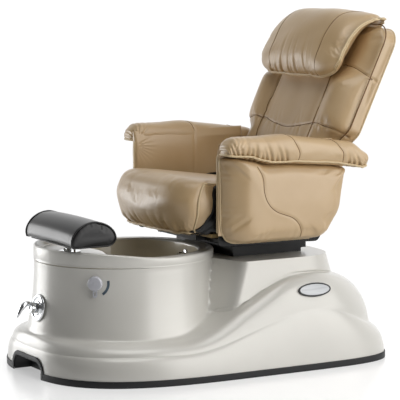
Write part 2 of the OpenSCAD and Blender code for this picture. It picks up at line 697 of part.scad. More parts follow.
module carriage() color(black) stand() difference() {
    union() {
        box([-216, 216], [862, 1176], [carriage_z + fit, frame_z]);
        box([-14, 14], [860.4, 877.4], [box_z + 2, carriage_z + 2]);
    }
    translate([0, 900, ram_z]) rotate([90, 0, 0]) cylinder(d = 8 + 2 * fit, h = 60);
}
module runners() color(steel) stand() both_sides() for (y = [930, 1110]) difference() {
    box([rail_in - rail_w / 2 - 9, rail_in + rail_w / 2 + 9], [y - 30, y + 30], [box_z + 2, carriage_z]);
    box([rail_in - rail_w / 2 - run, rail_in + rail_w / 2 + run], [y - 40, y + 40], [0, rail_top + run]);
}

// ---- seat ----
pivot = [1210, 600];      // [y, z] of the back's hinge
arm_pivot = [1120, 660];
plate_in = 335;
pan_z = frame_z + 27;
recline_z = frame_z + 15;
module seat_frame() color(steel) stand() {
    box([-150, 150], [700, 725], [frame_z + 2, pan_z]);
    both_sides() {
        box([137.5, 162.5], [700, 1180], [frame_z + fit, pan_z]);
        for (y = [748, 1140]) box([150, plate_in - fit], [y, y + 25], [frame_z + fit, frame_z + 14]);
    }
}

module across(y, z, x0, x1, d) translate([x0, y, z]) rotate([0, 90, 0]) cylinder(d = d, h = x1 - x0);
module side_plates() color(black) stand() both_sides() difference() {
    translate([plate_in, 0, 0]) rotate([90, 0, 90]) linear_extrude(10)
        polygon(rounded([[705, 516, 12], [1178, 506, 25], [1232, 580, 25], [1245, 640, 35], [1180, 735, 40],
            [1060, 735, 60], [705, 640, 30]]));
    across(pivot[0], pivot[1], plate_in - 9, plate_in + 30, 16 + 2 * run);
}

module seat_pan() color("#9c8258") stand() difference() {
    box([-seat_half + 10, seat_half - 10], [694, 1160], [pan_z + fit, pan_z + 15]);
    box([-40, 40], [1090, 1200], [pan_z - 9, pan_z + 30]);
}

module seat_cushion() color(leather) stand() {
    z = pan_z + 15.3;
    pad_across(rounded([[640, z - 14, 20], [560, z + 13, 40], [534, z + 140, 60], [566, seat_h, 50],
        [760, seat_h - 3, 200], [1165, seat_h - 73, 30], [1165, z, 10], [690, z, 12]]),
        -seat_half, seat_half, 9);
}

module recline_motor() color(steel) stand() difference() {
    union() {
        translate([0, 1100, recline_z]) rotate([90, 0, 0]) cylinder(d = 22, h = 200);
        box([-28, 28], [864, 908], [frame_z + fit, pan_z - 0.6]);
        box([-14, 14], [1040, 1070], [frame_z + fit, recline_z]);
    }
    translate([0, 1110, recline_z]) rotate([90, 0, 0]) cylinder(d = 10 + 2 * run, h = 190);
}

// The rod's slotted head takes the pin of the back's lever.
pin_at = [pivot[0] + 20, recline_z];
module recline_rod() color(chrome) stand() difference() {
    union() {
        translate([0, 1214, recline_z]) rotate([90, 0, 0]) cylinder(d = 10, h = 214);
        translate([-5, pin_at[0] - 17, recline_z - 12]) cube([10, 34, 22]);
    }
    hull() for (y = [-4, 4]) across(pin_at[0] + y, recline_z - 1.1, -9, 9, 12.4);
}

module arm_pivots() color(steel) stand() both_sides() {
    across(arm_pivot[0], arm_pivot[1], plate_in + 10 + fit, arm_in - 10.2, 36);
    across(arm_pivot[0], arm_pivot[1], plate_in + 12, arm_in + 10, 16);
}

// ---- arms ----
arm_seam = [[870, arm_h - 110, 120], [995, arm_h - 112, 200], [1207, arm_h - 128, 300]];
arm_panel = concat([[700, arm_low, 66], [1160, arm_low, 80], [1238, 640, 150],
    [1286, arm_h - 146, 12]], [for (i = [2:-1:0]) arm_seam[i]],
    [[800, arm_h - 90.5, 90], [690, arm_h - 82, 14]]);
arm_roll = concat([[672, arm_h - 72, 22], [800, arm_h - 85.7, 90]],
    [for (q = arm_seam) [q.x, q.y + 0.4, q.z]],
    [[1350, arm_h - 152, 20], [1380, arm_h - 104, 24], [1290, arm_h - 40, 90], [960, arm_h + 4, 300],
    [694, arm_h, 52]]);
module arm_plate() color(steel) stand() difference() {
    translate([arm_in - 9.7, 0, 0]) rotate([90, 0, 90]) linear_extrude(9.4)
        polygon(rounded([[760, 545, 20], [1150, 545, 20], [1200, 640, 30], [1190, 800, 20], [760, 810, 20]]));
    across(arm_pivot[0], arm_pivot[1], 300, 400, 16 + 2 * run);
}
module arm_panel() color(leather) stand() difference() {
    pad_across(rounded(arm_panel, 4), arm_in, arm_in + arm_t, 8, 34);
    across(arm_pivot[0], arm_pivot[1], arm_in - 9, arm_in + 14, 22);
}
module arm_pad() color(leather) stand()
    pad_across(rounded(arm_roll, 4), arm_in - 9.5, arm_in + arm_t + 22, 16, 16);
module arm_plate_left() arm_plate();
module arm_panel_left() arm_panel();
module arm_pad_left() arm_pad();
module arm_plate_right() mirror([1, 0, 0]) arm_plate();
module arm_panel_right() mirror([1, 0, 0]) arm_panel();
module arm_pad_right() mirror([1, 0, 0]) arm_pad();

// ---- back: z runs up along the back and -y out of its front face ----
module on_back() stand() translate([0, pivot[0], pivot[1]]) rotate([-back_tilt, 0, 0]) children();
function back_outline(d, low) = rounded([[waist_half - d, low, 30], [waist_half - d, 345, 60],
    [back_half - d, 430, 60], [back_half - d, back_len - d, 88], [d - back_half, back_len - d, 88],
    [d - back_half, 430, 60], [d - waist_half, 345, 60], [d - waist_half, low, 30]]);
cover_half = waist_half - 20;
function cover_outline(d) = rounded([[cover_half - d, 78 + d, 40], [cover_half - d, back_len - 18 - d, 70],
    [d - cover_half, back_len - 18 - d, 70], [d - cover_half, 78 + d, 40]]);

module back_frame() color(steel) {
    on_back() {
        across(0, 0, -plate_in + 5, plate_in - 5, 30);
        across(0, 0, -plate_in - 12, plate_in + 12, 16);
        both_sides() box([168, 193], [-7, 0], [-4, 20]);
        both_sides() box([168, 193], [6.5, 31], [-12, back_len - 75]);
        for (h = [250, 500, back_len - 100]) box([-180, 180], [6.5, 31], [h, h + 25]);
    }
    stand() both_sides() hull() {
        across(pivot[0], pivot[1], 7, 13, 34);
        across(pin_at[0], pin_at[1], 7, 13, 22);
    }
    stand() across(pin_at[0], pin_at[1], -13, 13, 8);
}

module back_board() color("#9c8258") on_back()
    translate([0, 6.2, 0]) rotate([90, 0, 0]) linear_extrude(12.4) polygon(cover_outline(7));

module back_cushion() color(leather) on_back()
    pad_forward(back_outline(0, 60), [[7, 4], [10, 1], [14, 0], [back_t, 0], [back_t + 5, 2],
        [back_t + 8, 8], [back_t + 12, 24], [back_t + 16, 55], [back_t + 18, 110]]);

module back_cover() color(leather) on_back() difference() {
    pad_forward(cover_outline(0), [[-65, 120], [-60, 80], [-48, 42], [-25, 12], [-8, 2], [6.7, 0]]);
    pad_forward(cover_outline(5), [[-60, 120], [-54, 80], [-42, 42], [-22, 12], [-8, 2], [9, 0]]);
    box([-215, 215], [-9, 45], [40, 120]);
}

// The pillow laps over the top of the back and ends in a flap behind it.
module head_pillow() color(leather) on_back() difference() {
    top = back_len + 50;
    union() {
        pad_across(rounded([[66, top - 55, 8], [44, top - 20, 30], [14, top, 40], [-62, top, 40],
            [-138, top - 26, 40], [-196, top - 100, 60], [-222, top - 190, 60], [-222, top - 275, 50],
            [-168, top - 334, 24], [-70, top - 334, 10]], 4), -pillow_half, pillow_half, 40);
        translate([60 - pillow_half, 0, 0]) rotate([90, 0, 90]) linear_extrude(2 * pillow_half - 120)
            polygon([[76, top - 163], [73, top - 125], [63, top - 80], [48, top - 40], [10, top - 20],
                [10, top - 48], [40, top - 48], [55, top - 90], [65, top - 130], [68, top - 163]]);
    }
    translate([-pillow_half - 9, 0, 0]) rotate([90, 0, 90]) linear_extrude(2 * pillow_half + 18)
        polygon([[-back_t - 19.5, top - 405], [68, top - 405], [68, top - 163], [65, top - 130],
            [55, top - 90], [40, back_len + 0.4],
            [-back_t - 19.5, back_len + 0.4]]);
}

base_shell();
kick_strip();
toe_recess();
steel_chassis();
floor_feet();
tub_basin();
drain_strainer();
drain_pipe();
drain_valve();
drain_cable();
fill_spout();
mixed_pipe();
supply_pipes();
mixer_body();
mixer_plate();
mixer_hub();
mixer_lever();
knob_housing();
knob_scale();
drain_knob();
jet_cover();
jet_impeller();
jet_motor();
control_box();
name_plate();
name_plate_bezel();
footrest_socket();
footrest_post();
footrest_plate();
footrest_pad();
bed_plate();
rail_box();
slide_rails();
slide_motor();
slide_rod();
carriage();
runners();
seat_frame();
side_plates();
seat_pan();
seat_cushion();
recline_motor();
recline_rod();
arm_pivots();
arm_plate_left();
arm_panel_left();
arm_pad_left();
arm_plate_right();
arm_panel_right();
arm_pad_right();
back_frame();
back_board();
back_cushion();
back_cover();
head_pillow();
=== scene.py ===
import json
import math

import bpy
import numpy as np
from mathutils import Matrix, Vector
from mathutils.bvhtree import BVHTree


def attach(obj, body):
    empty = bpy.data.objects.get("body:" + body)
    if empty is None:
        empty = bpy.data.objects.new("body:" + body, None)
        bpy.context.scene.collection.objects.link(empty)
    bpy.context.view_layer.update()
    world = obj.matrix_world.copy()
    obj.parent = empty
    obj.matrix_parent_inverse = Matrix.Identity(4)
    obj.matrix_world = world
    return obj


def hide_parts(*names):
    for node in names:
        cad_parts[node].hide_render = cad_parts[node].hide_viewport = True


# The looks of a pedicure spa chair: a tan leather chair on a pearl-white plinth with a foot tub.
# Lengths are metres. Shapes are worked out from the front of the kick strip and set back by MIDDLE
# when their mesh is made, which puts them in the row frame.
MIDDLE = 0.8005
SIDES = {"left": 1, "right": -1}
CORD_SIDES = 8                   # faces round a welt or a painted seam-shade cord
PRESSURE, FRAMES = 4.0, 20       # of the stuffed pieces' swelling

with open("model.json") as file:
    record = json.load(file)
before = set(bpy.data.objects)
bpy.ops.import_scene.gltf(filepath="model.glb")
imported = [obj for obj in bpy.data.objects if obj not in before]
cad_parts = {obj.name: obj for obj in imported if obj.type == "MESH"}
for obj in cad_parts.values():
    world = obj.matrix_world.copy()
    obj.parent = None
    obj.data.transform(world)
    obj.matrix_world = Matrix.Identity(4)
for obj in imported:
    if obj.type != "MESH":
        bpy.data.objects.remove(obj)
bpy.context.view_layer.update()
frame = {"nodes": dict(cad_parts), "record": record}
rng = np.random.default_rng(7)


# ---------------------------------------------------------------- curves and numbers
def ramp(start, end, x):
    """Smooth step: 0 before start, 1 after end, 3t^2 - 2t^3 between."""
    t = np.clip((x - start) / (end - start), 0, 1)
    return t * t * (3 - 2 * t)


def spow(x, p):
    """Power that keeps the sign: sign(x) |x|^p."""
    return np.sign(x) * np.abs(x) ** p


def mix(a, b, t):
    """a at t 0, b at t 1."""
    return a + (b - a) * t


def unit(v):
    """Vectors along the last axis, at length 1."""
    v = np.asarray(v, float)
    return v / np.maximum(np.linalg.norm(v, axis=-1, keepdims=True), 1e-12)


def through(points, n, closed=False):
    """n points on a smooth curve: a Catmull-Rom spline, 0.5 (2p1 + (p2-p0)t + (2p0-5p1+4p2-p3)t^2
    + (3p1-p0-3p2+p3)t^3), then spaced evenly by length."""
    p = np.asarray(points, float)
    if closed:
        p = np.vstack([p[-1:], p, p[:2]])
    else:
        p = np.vstack([2 * p[:1] - p[1:2], p, 2 * p[-1:] - p[-2:-1]])
    t = np.linspace(0, 1, 24, endpoint=False)[None, :, None]
    a, b, c, d = (p[k:len(p) - 3 + k, None, :] for k in range(4))
    q = 0.5 * (2 * b + (c - a) * t + (2 * a - 5 * b + 4 * c - d) * t**2
               + (3 * b - a - 3 * c + d) * t**3)
    q = np.vstack([q.reshape(-1, p.shape[1]), c[-1]])
    s = np.r_[0, np.cumsum(np.linalg.norm(np.diff(q, axis=0), axis=1))]
    at = np.linspace(0, s[-1], n, endpoint=False) if closed else np.linspace(0, s[-1], n)
    return np.stack([np.interp(at, s, q[:, k]) for k in range(q.shape[1])], 1)


def bell(x, width):
    """Bell curve, exp(-(x / width)^2)."""
    return np.exp(-(x / width) ** 2)


# ---------------------------------------------------------------- meshes
def closed_rings(rings, caps=(True, True), loop=False):
    """Vertices and faces of a skin over rings of points, an (m, n, 3) array whose rings close on
    themselves. Each cap is a fan to its ring's middle; loop joins the last ring to the first."""
    rings = np.asarray(rings, float)
    m, n, _ = rings.shape
    k = np.arange(m * n).reshape(m, n)
    if loop:
        k = np.vstack([k, k[:1]])
    a, c = k[:-1], k[1:]
    faces = np.stack([a, np.roll(a, -1, 1), np.roll(c, -1, 1), c], -1).reshape(-1, 4).tolist()
    points = [rings.reshape(-1, 3)]
    total = m * n
    for use, row, way in ((caps[0], k[0], -1), (caps[1], k[-1], 1)):
        if use and not loop:
            points.append(rings.reshape(-1, 3)[row].mean(0)[None])
            ring = row[::way]
            faces += np.stack([ring, np.roll(ring, -1), np.full(n, total)], -1).tolist()
            total += 1
    return np.vstack(points), faces


def two_skins(front, back):
    """Vertices and faces of a closed pad made of two (m, n, 3) skins that meet at their edges."""
    m, n, _ = front.shape
    k = np.arange(m * n).reshape(m, n)
    inner = np.full((m, n), -1)
    inner[1:-1, 1:-1] = np.arange((m - 2) * (n - 2)).reshape(m - 2, n - 2) + m * n
    inner = np.where(inner < 0, k, inner)

    def quads(q):
        return np.stack([q[:-1, :-1], q[:-1, 1:], q[1:, 1:], q[1:, :-1]], -1).reshape(-1, 4)
    faces = np.vstack([quads(k), quads(inner)[:, ::-1]]).tolist()
    return np.vstack([front.reshape(-1, 3), back[1:-1, 1:-1].reshape(-1, 3)]), faces


def tube(path, radius, up, closed=False, sides=10):
    """Vertices and faces of a round tube along a path: each ring is radius (cos t side + sin t up)
    square to the path. radius may vary along it. Open ends are domed by two smaller rings."""
    path = np.asarray(path, float)
    radius = np.broadcast_to(np.asarray(radius, float), (len(path),)).copy()
    if closed:
        ahead = np.roll(path, -1, 0) - np.roll(path, 1, 0)
    else:
        ahead = np.gradient(path, axis=0)
        first, last = unit(ahead[0]), unit(ahead[-1])
        path = np.vstack([path[0] - first * radius[0] * 0.9, path[0] - first * radius[0] * 0.5,
                          path, path[-1] + last * radius[-1] * 0.5,
                          path[-1] + last * radius[-1] * 0.9])
        ahead = np.vstack([[ahead[0]] * 2, ahead, [ahead[-1]] * 2])
        radius = np.r_[radius[0] * 0.4, radius[0] * 0.85, radius,
                       radius[-1] * 0.85, radius[-1] * 0.4]
    ahead = unit(ahead)
    up = np.broadcast_to(np.asarray(up, float), path.shape) if np.ndim(up) == 1 else \
        (np.asarray(up) if closed else np.vstack([[up[0]] * 2, up, [up[-1]] * 2]))
    side = unit(np.cross(ahead, up))
    up = np.cross(side, ahead)
    t = np.linspace(0, 2 * np.pi, sides, endpoint=False)
    rings = path[:, None] + radius[:, None, None] * (
        np.cos(t)[None, :, None] * side[:, None] + np.sin(t)[None, :, None] * up[:, None])
    return closed_rings(rings, loop=closed)


def joined(*parts):
    """Several (vertices, faces) as one."""
    points, faces, start = [], [], 0
    for p, f in parts:
        points.append(p)
        faces += [[i + start for i in q] for q in f]
        start += len(p)
    return np.vstack(points), faces


def turned_out(points, faces):
    """Faces of a closed mesh, turned round if its volume, sum of a . (b x c) / 6, is negative."""
    tris = np.array([[f[0], f[i], f[i + 1]] for f in faces for i in range(1, len(f) - 1)])
    a, b, c = (points[tris[:, k]] for k in range(3))
    if (a * np.cross(b, c)).sum() < 0:
        return [f[::-1] for f in faces]
    return faces


def smooth(mesh, sharp=None):
    """Shades a mesh smooth, but for edges sharper than the given angle in degrees."""
    mesh.polygons.foreach_set("use_smooth", np.ones(len(mesh.polygons), bool))
    if sharp:
        mesh.set_sharp_from_angle(angle=math.radians(sharp))


def placed(name, data):
    """A new object in the scene that holds a mesh, a lamp or a camera."""
    obj = bpy.data.objects.new(name, data)
    bpy.context.collection.objects.link(obj)
    return obj


def fixed_mesh(obj):
    """The object's mesh as its modifiers leave it."""
    bpy.context.view_layer.update()
    return bpy.data.meshes.new_from_object(obj.evaluated_get(bpy.context.evaluated_depsgraph_get()))


def piece(name, shape, body, slot_name, replaces=(), sharp=None, look=None):
    """One visible piece from (vertices, faces), in its place in the mesh, with its slot's finish
    unless another look is given."""
    points, faces = shape
    mesh = bpy.data.meshes.new(name)
    mesh.from_pydata((points - [0, MIDDLE, 0]).tolist(), [], turned_out(points, faces))
    smooth(mesh, sharp)
    mesh.update()
    obj = placed(name, mesh)
    mesh.materials.append(look or finishes[slot_name])
    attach(obj, body)
    if replaces:
        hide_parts(*replaces)
    return obj


def lathe(profile, at, axis, n):
    """Vertices and faces of a turned shape: (radius, height) pairs carried round an axis."""
    axis = unit(np.array(axis, float))
    side = unit(np.cross(np.array([0.0, 0.0, 1.0]), axis))
    other = np.cross(axis, side)
    t = np.linspace(0, 2 * np.pi, n, endpoint=False)
    p = np.array(profile, float)
    ring = np.cos(t)[:, None] * side + np.sin(t)[:, None] * other
    rings = np.array(at) + p[:, 0, None, None] * ring[None] + p[:, 1, None, None] * axis
    return closed_rings(rings)


def pushed(points, faces, move):
    """Points moved along their own normals, which are the area-weighted means of their faces'."""
    return points + normals_of(points, faces) * np.asarray(move)[:, None]


def normals_of(points, faces):
    """Unit normal at each vertex: the sum of the cross products of the faces round it."""
    faces = turned_out(points, faces)
    quads = np.array([f if len(f) == 4 else f + f[-1:] for f in faces])
    a, b, c, d = (points[quads[:, k]] for k in range(4))
    cross = np.cross(c - a, d - b)
    out = np.zeros_like(points)
    for k in range(4):
        np.add.at(out, quads[:, k], cross)
    return unit(out)


def far_from(points, path):
    """Distance of each point from a path of straight runs."""
    best = np.full(len(points), 1e9)
    for a, b in zip(path[:-1], path[1:]):
        ab = b - a
        t = np.clip(((points - a) @ ab) / max(ab @ ab, 1e-12), 0, 1)
        best = np.minimum(best, np.linalg.norm(points - a - t[:, None] * ab, axis=1))
    return best


# ---------------------------------------------------------------- materials
def linear(code):
    """An sRGB hex colour as linear RGBA: c / 12.92 to 0.04045, ((c + 0.055) / 1.055)^2.4 above."""
    c = np.array([int(code[i:i + 2], 16) for i in (1, 3, 5)]) / 255
    c = np.where(c <= 0.04045, c / 12.92, ((c + 0.055) / 1.055) ** 2.4)
    return (*c.tolist(), 1.0)


def add(tree, kind, settings=(), links=()):
    """Adds a node of that kind with its settings, by property or input name, and its links, each
    (input, (node, output))."""
    node = tree.nodes.new(kind)
    for name, value in dict(settings).items():
        if isinstance(name, str) and hasattr(node, name):
            setattr(node, name, value)
        else:
            node.inputs[name].default_value = value
    for name, (other, output) in dict(links).items():
        tree.links.new(other.outputs[output], node.inputs[name])
    return node


def finish_of(name, dark, light, rough, scale, bump, bump_scale, bump_depth,
              rough_spread=0.06, pattern="ShaderNodeTexNoise", stretch=(1, 1, 1), **sockets):
    """A surface whose colour drifts between two hex colours over a noise, whose roughness drifts
    with it, and whose relief is a finer pattern. Sockets are the shader's constants."""
    made = bpy.data.materials.new(name)
    made.use_nodes = True
    tree = made.node_tree
    shader = tree.nodes["Principled BSDF"]
    for socket, value in sockets.items():
        shader.inputs[socket.replace("_", " ")].default_value = value
    place = add(tree, "ShaderNodeTexCoord")
    spread = add(tree, "ShaderNodeMapping", {"Scale": stretch}, {"Vector": (place, "Object")})
    drift = add(tree, "ShaderNodeTexNoise", {"Scale": scale, "Detail": 3.0},
                {"Vector": (spread, "Vector")})
    share = add(tree, "ShaderNodeMapRange", {"From Min": 0.25, "From Max": 0.75},
                {"Value": (drift, "Fac")})
    colour = add(tree, "ShaderNodeMix", {"data_type": "RGBA"})
    colour.inputs[6].default_value = linear(dark)
    colour.inputs[7].default_value = linear(light)
    tree.links.new(share.outputs["Result"], colour.inputs[0])
    tree.links.new(colour.outputs[2], shader.inputs["Base Color"])
    gloss = add(tree, "ShaderNodeMapRange",
                {"To Min": rough - rough_spread, "To Max": rough + rough_spread},
                {"Value": (drift, "Fac")})
    tree.links.new(gloss.outputs["Result"], shader.inputs["Roughness"])
    relief = add(tree, pattern, {"Scale": bump_scale}, {"Vector": (spread, "Vector")})
    output = "Distance" if pattern == "ShaderNodeTexVoronoi" else "Fac"
    raised = add(tree, "ShaderNodeBump", {"Strength": bump, "Distance": bump_depth},
                 {"Height": (relief, output)})
    tree.links.new(raised.outputs["Normal"], shader.inputs["Normal"])
    return made


# Gelcoat over a moulded shell: wet gloss over a faint pearl, so soft lights read as broad bands.
gelcoat = finish_of("pearl gelcoat", "#d3d1ca", "#dbd9d2", 0.34, 3, 0.0, 60, 0.0003,
                    Metallic=0.10, Coat_Weight=0.6, Coat_Roughness=0.20, Coat_IOR=1.5)
# Vacuum-formed acrylic: glossy and even, faintly warm.
acrylic = finish_of("basin acrylic", "#cdc5b1", "#d8d0bc", 0.22, 4, 0.0, 50, 0.0004,
                    Coat_Weight=0.5, Coat_Roughness=0.05)
# Chromed brass: a mirror with a trace of polishing marks.
chrome = finish_of("bright chrome", "#d8dadc", "#e6e8ea", 0.07, 20, 0.02, 400, 0.0001,
                   rough_spread=0.02, Metallic=1.0)
# Moulded rubber: matte black that greys at grazing angles.
rubber = finish_of("black rubber", "#141516", "#1d1e20", 0.55, 30, 0.2, 900, 0.0002,
                   Specular_IOR_Level=0.4)
# Powder coat: fine orange peel of about 1 mm, drawn at 2 mm.
powder = finish_of("black powder coat", "#0a0a0b", "#101113", 0.5, 12, 0.15, 500, 0.0003,
                   Specular_IOR_Level=0.3)
# Zinc plate: dull metal with a brushed streak.
zinc = finish_of("zinc plated steel", "#8d9094", "#a9acb0", 0.38, 14, 0.1, 300, 0.0002,
                 Metallic=1.0)
brass = finish_of("cast brass", "#8e7434", "#a98c46", 0.4, 18, 0.3, 220, 0.0004, Metallic=1.0)
copper = finish_of("drawn copper", "#a8623c", "#bd7a52", 0.32, 14, 0.1, 240, 0.0002, Metallic=1.0)
pvc = finish_of("grey pvc", "#c4c5c2", "#d2d3d0", 0.45, 10, 0.05, 200, 0.0002)
plastic = finish_of("moulded black plastic", "#141516", "#1c1d1f", 0.48, 14, 0.2, 700, 0.0002)
knob_white = finish_of("knob plastic", "#c3c4cb", "#d0d1d8", 0.28, 20, 0.05, 300, 0.0001)
scale_ink = finish_of("scale print", "#3c4a55", "#5a6a76", 0.45, 60, 0.05, 300, 0.0001)
plate_metal = finish_of("brushed plate", "#9b9d9f", "#b4b6b8", 0.40, 8, 0.15, 90, 0.0002,
                        stretch=(1, 1, 14), Metallic=0.5)
plywood = finish_of("birch plywood", "#8f7549", "#b39a68", 0.6, 9, 0.2, 60, 0.0004,
                    stretch=(1, 0.1, 1))
# Upholstery vinyl: soft gloss over a fine grain of about 1 mm, drawn at 2 mm.
# The same black also stands for painted shade on the seat's sides behind the roll.
vinyl_and_shade = finish_of("black upholstery vinyl", "#0b0b0c", "#121214", 0.32, 8, 0.06, 420, 0.0003,
                  pattern="ShaderNodeTexVoronoi", Specular_IOR_Level=0.35, Coat_Weight=0.15,
                  Coat_Roughness=0.20)
# Corrected-grain leather: even tan, soft sheen, pebble grain of about 1.2 mm drawn at 2 mm.
leather = finish_of("tan leather", "#bd9e71", "#c7aa7f", 0.45, 6, 0.06, 420, 0.0003,
                    pattern="ShaderNodeTexVoronoi", Specular_IOR_Level=0.9, Coat_Weight=0.6,
                    Coat_Roughness=0.42)
# The same hide turned round a cord, in a paler tan.
welt = finish_of("leather welt", "#cfb88f", "#dac59f", 0.36, 9, 0.08, 420, 0.0003,
                 pattern="ShaderNodeTexVoronoi")
# Dark brown cords sunk in the seams: painted shade of the narrow seam grooves.
seam_shade = finish_of("seam shade line", "#6b4c2a", "#7c5c36", 0.7, 60, 0.2, 900, 0.0002)

finishes = {
    "gelcoat": gelcoat, "basin_acrylic": acrylic, "black_rubber": rubber, "black_paint": powder,
    "steel": zinc, "chrome": chrome, "brass": brass, "copper_pipe": copper, "pvc": pvc,
    "black_plastic": plastic, "knob_plastic": knob_white, "scale_print": scale_ink,
    "silver_plate": plate_metal, "black_vinyl": vinyl_and_shade, "leather": leather, "plywood": plywood,
}
for row in frame["record"]["subparts"]:
    node = frame["nodes"][row["node"]]
    node.data.materials.clear()
    node.data.materials.append(finishes[row["material_slot"]])
# The footrest's board is painted black on its faces and edges.
frame["nodes"]["footrest_plate"].data.materials[0] = powder

# ---------------------------------------------------------------- plinth
COLUMNS = 288
AROUND = np.linspace(0, 2 * np.pi, COLUMNS, endpoint=False) - np.pi / 2
DECK, SHELL, RIM = 0.450, 0.006, 0.486
PLINTH_Y, TUB_Y = 0.75, 0.450                # middles of the skirts' outlines and of the tub
FOOT_LINE = (0.511, 0.004, 1.516, 3, 6)      # half width, front, rear, nose and tail exponents
LOW_LINE = (0.484, 0.013, 1.466, 2.8, 5)
TOP_LINE = (0.403, 0.036, 1.308, 2.6, 5)
KICK_LINE = (0.515, 0.0, 1.520, 3, 6)


def skirt(line, inset=0.0):
    """Outline: x = a |cos t|^(2/n), y = 0.75 + b |sin t|^(2/n), with n from nose to tail."""
    half, front, rear, nose, tail = line
    t = AROUND
    b = np.where(np.sin(t) < 0, PLINTH_Y - front - inset, rear - inset - PLINTH_Y)
    n = np.where(np.sin(t) < 0, nose, tail)
    return np.stack([(half - inset) * spow(np.cos(t), 2 / n),
                     PLINTH_Y + b * spow(np.sin(t), 2 / n)], -1)


def low_crease(y):
    """Height of the crease between the two skirts."""
    return 0.114 + 0.131 * ramp(0.480, 1.080, y) - 0.105 * ramp(1.120, 1.480, y)


def top_crease(y):
    """Height of the crease between the upper skirt and the walls."""
    return 0.163 + 0.225 * ramp(0.490, 1.060, y) - 0.035 * ramp(1.130, 1.350, y)


def shoulder(lower, upper, start, crease, share, inset):
    """A quarter wave from the lower outline to the crease: inwards 1 - cos a, upwards sin a."""
    a = share * np.pi / 2
    p = mix(skirt(lower, inset), skirt(upper, inset), 1 - math.cos(a))
    z0 = start(p[:, 1]) if callable(start) else start
    return np.c_[p, mix(z0, crease(p[:, 1]) - inset, math.sin(a))]


def flare(z):
    """How far the drum spreads towards its foot, 0 at the deck and 1 from 0.15 m down."""
    return np.clip((DECK - z) / (DECK - 0.15), 0, 1) ** 2.2


def tower(z, inset):
    """Half width of the drum and of the pedestal behind it, as one smooth wall: the 12th root of
    the sum of their 12th powers."""
    lean = 0.33 * (DECK - np.maximum(z, 0.15))
    rear = 1.276 + 0.3 * (DECK - np.maximum(z, 0.30)) - inset
    front = TUB_Y - (0.378 + 0.035 * flare(z)) + inset
    mid = (front + rear) / 2
    reach = (rear - front) / 2
    waist = 0.740 - lean
    y = mid + reach * np.sin(AROUND)
    y = y + 0.25 * (waist - y) * bell(y - waist, 0.16)
    y = np.clip(y, front, rear)
    a_y = 0.378 + 0.035 * flare(z) - inset
    line = 0.0016 * bell(z - 0.302, 0.007) + 0.0012 * bell(z - 0.436, 0.006)
    arc = np.sqrt(np.clip(1 - ((y - TUB_Y) / a_y) ** 2, 0, 1))
    drum = (0.338 + 0.045 * flare(z) - inset - line) * arc
    u = np.clip((y - 0.900) / (rear - 0.900), 0, 1)
    ped = (0.380 + 0.1 * (DECK - z) - inset) * np.clip(1 - u**5, 0, 1) ** 0.2
    ped = ped * ramp(0.660 - lean, 0.820 - lean, y)
    half = (drum**12 + ped**12) ** (1 / 12)
    return y, half


def tower_ring(z, inset=0.0):
    """The wall's ring at height z, a number or one for each column."""
    y, half = tower(z, inset)
    return np.c_[np.sign(np.cos(AROUND)) * half * (np.abs(np.cos(AROUND)) > 1e-9), y,
                 np.broadcast_to(z, y.shape)]


def soften_profile(rings, passes=10, amount=0.5, low=2, high=None):
    """Rounds the creases: each inner ring moves towards the mean of its neighbours, many times."""
    rings = rings.copy()
    high = len(rings) - 2 if high is None else high
    for _ in range(passes):
        middle = (rings[low - 1:high - 1] + rings[low + 1:high + 1]) / 2
        rings[low:high] = mix(rings[low:high], middle, amount)
    return rings


def wall_rings(inset):
    """Rings of the plinth from its foot to its deck: two shoulders, then the walls. The drum has a
    shallow groove round it at 0.30 m."""
    base = skirt(FOOT_LINE, inset)
    rings = [np.c_[base, np.full(COLUMNS, 0.002)], np.c_[base, np.full(COLUMNS, 0.018)]]
    ease = (1 - np.cos(np.linspace(0, np.pi, 23))) / 2       # close together at both creases
    rings += [shoulder(FOOT_LINE, LOW_LINE, 0.031, low_crease, s, inset) for s in ease]
    rings += [shoulder(LOW_LINE, TOP_LINE, lambda y: low_crease(y) - inset, top_crease, s, inset)
              for s in ease[1:]]
    foot = rings[-1]
    levels = np.linspace(0, 1, 44)[1:] ** 1.35
    for s in levels:
        z0 = np.interp(AROUND, AROUND, foot[:, 2])
        for _ in range(3):                      # the ring's y, and so its own foot, depends on z
            z = mix(z0, DECK, s)
            y, half = tower(z, inset)
            z0 = top_crease(y) - inset
        z = mix(z0, DECK, s)
        rings.append(tower_ring(z, inset))
    return np.array(rings)


walls = wall_rings(0.0)
walls = soften_profile(walls, passes=14, amount=0.5, low=3, high=len(walls) - 4)
deck_in = walls[-1].copy()
inner = wall_rings(SHELL)[::-2]
inner[:, :, 2] = np.minimum(inner[:, :, 2], DECK - SHELL)
centre_top = np.c_[0.08 * deck_in[:, 0], mix(0.7, deck_in[:, 1], 0.08), np.full(COLUMNS, DECK)]
centre_low = centre_top - [0, 0, SHELL]
shell_points, shell_faces = closed_rings(
    np.concatenate([walls, centre_top[None], centre_low[None], inner]), loop=True)


def well_outline(inset, t):
    """The foot well's outline about y 0.45, with a lobe between the feet in front."""
    front = np.sin(t) < 0
    k = np.where(front, 2 / 3, 2 / 2.3)
    x = (0.285 - inset) * spow(np.cos(t), k)
    y = np.where(front, 0.150 - inset, 0.298 - inset) * spow(np.sin(t), k)
    lobe = np.where(front, 0.038 * (1 - ramp(0, 0.170, np.abs(x))) * np.sin(t) ** 2, 0)
    return np.stack([x, TUB_Y + y + lobe], -1)


def prism(outline, z0, z1):
    """An upright prism on an outline."""
    flat = np.c_[outline, np.zeros(len(outline))]
    return closed_rings(np.array([flat + [0, 0, z0], flat + [0, 0, z1]]))


def arch(w, h, n=14):
    """The toe notch's outline in x and z: a box with two rounded upper corners."""
    r = h * 0.75
    a = np.linspace(0, np.pi / 2, n)
    right = np.c_[w - r + r * np.cos(a), h - r + r * np.sin(a)]
    left = right[::-1] * [-1, 1]
    return np.vstack([[[w, -h / 2]], right, left, [[-w, -h / 2]]])


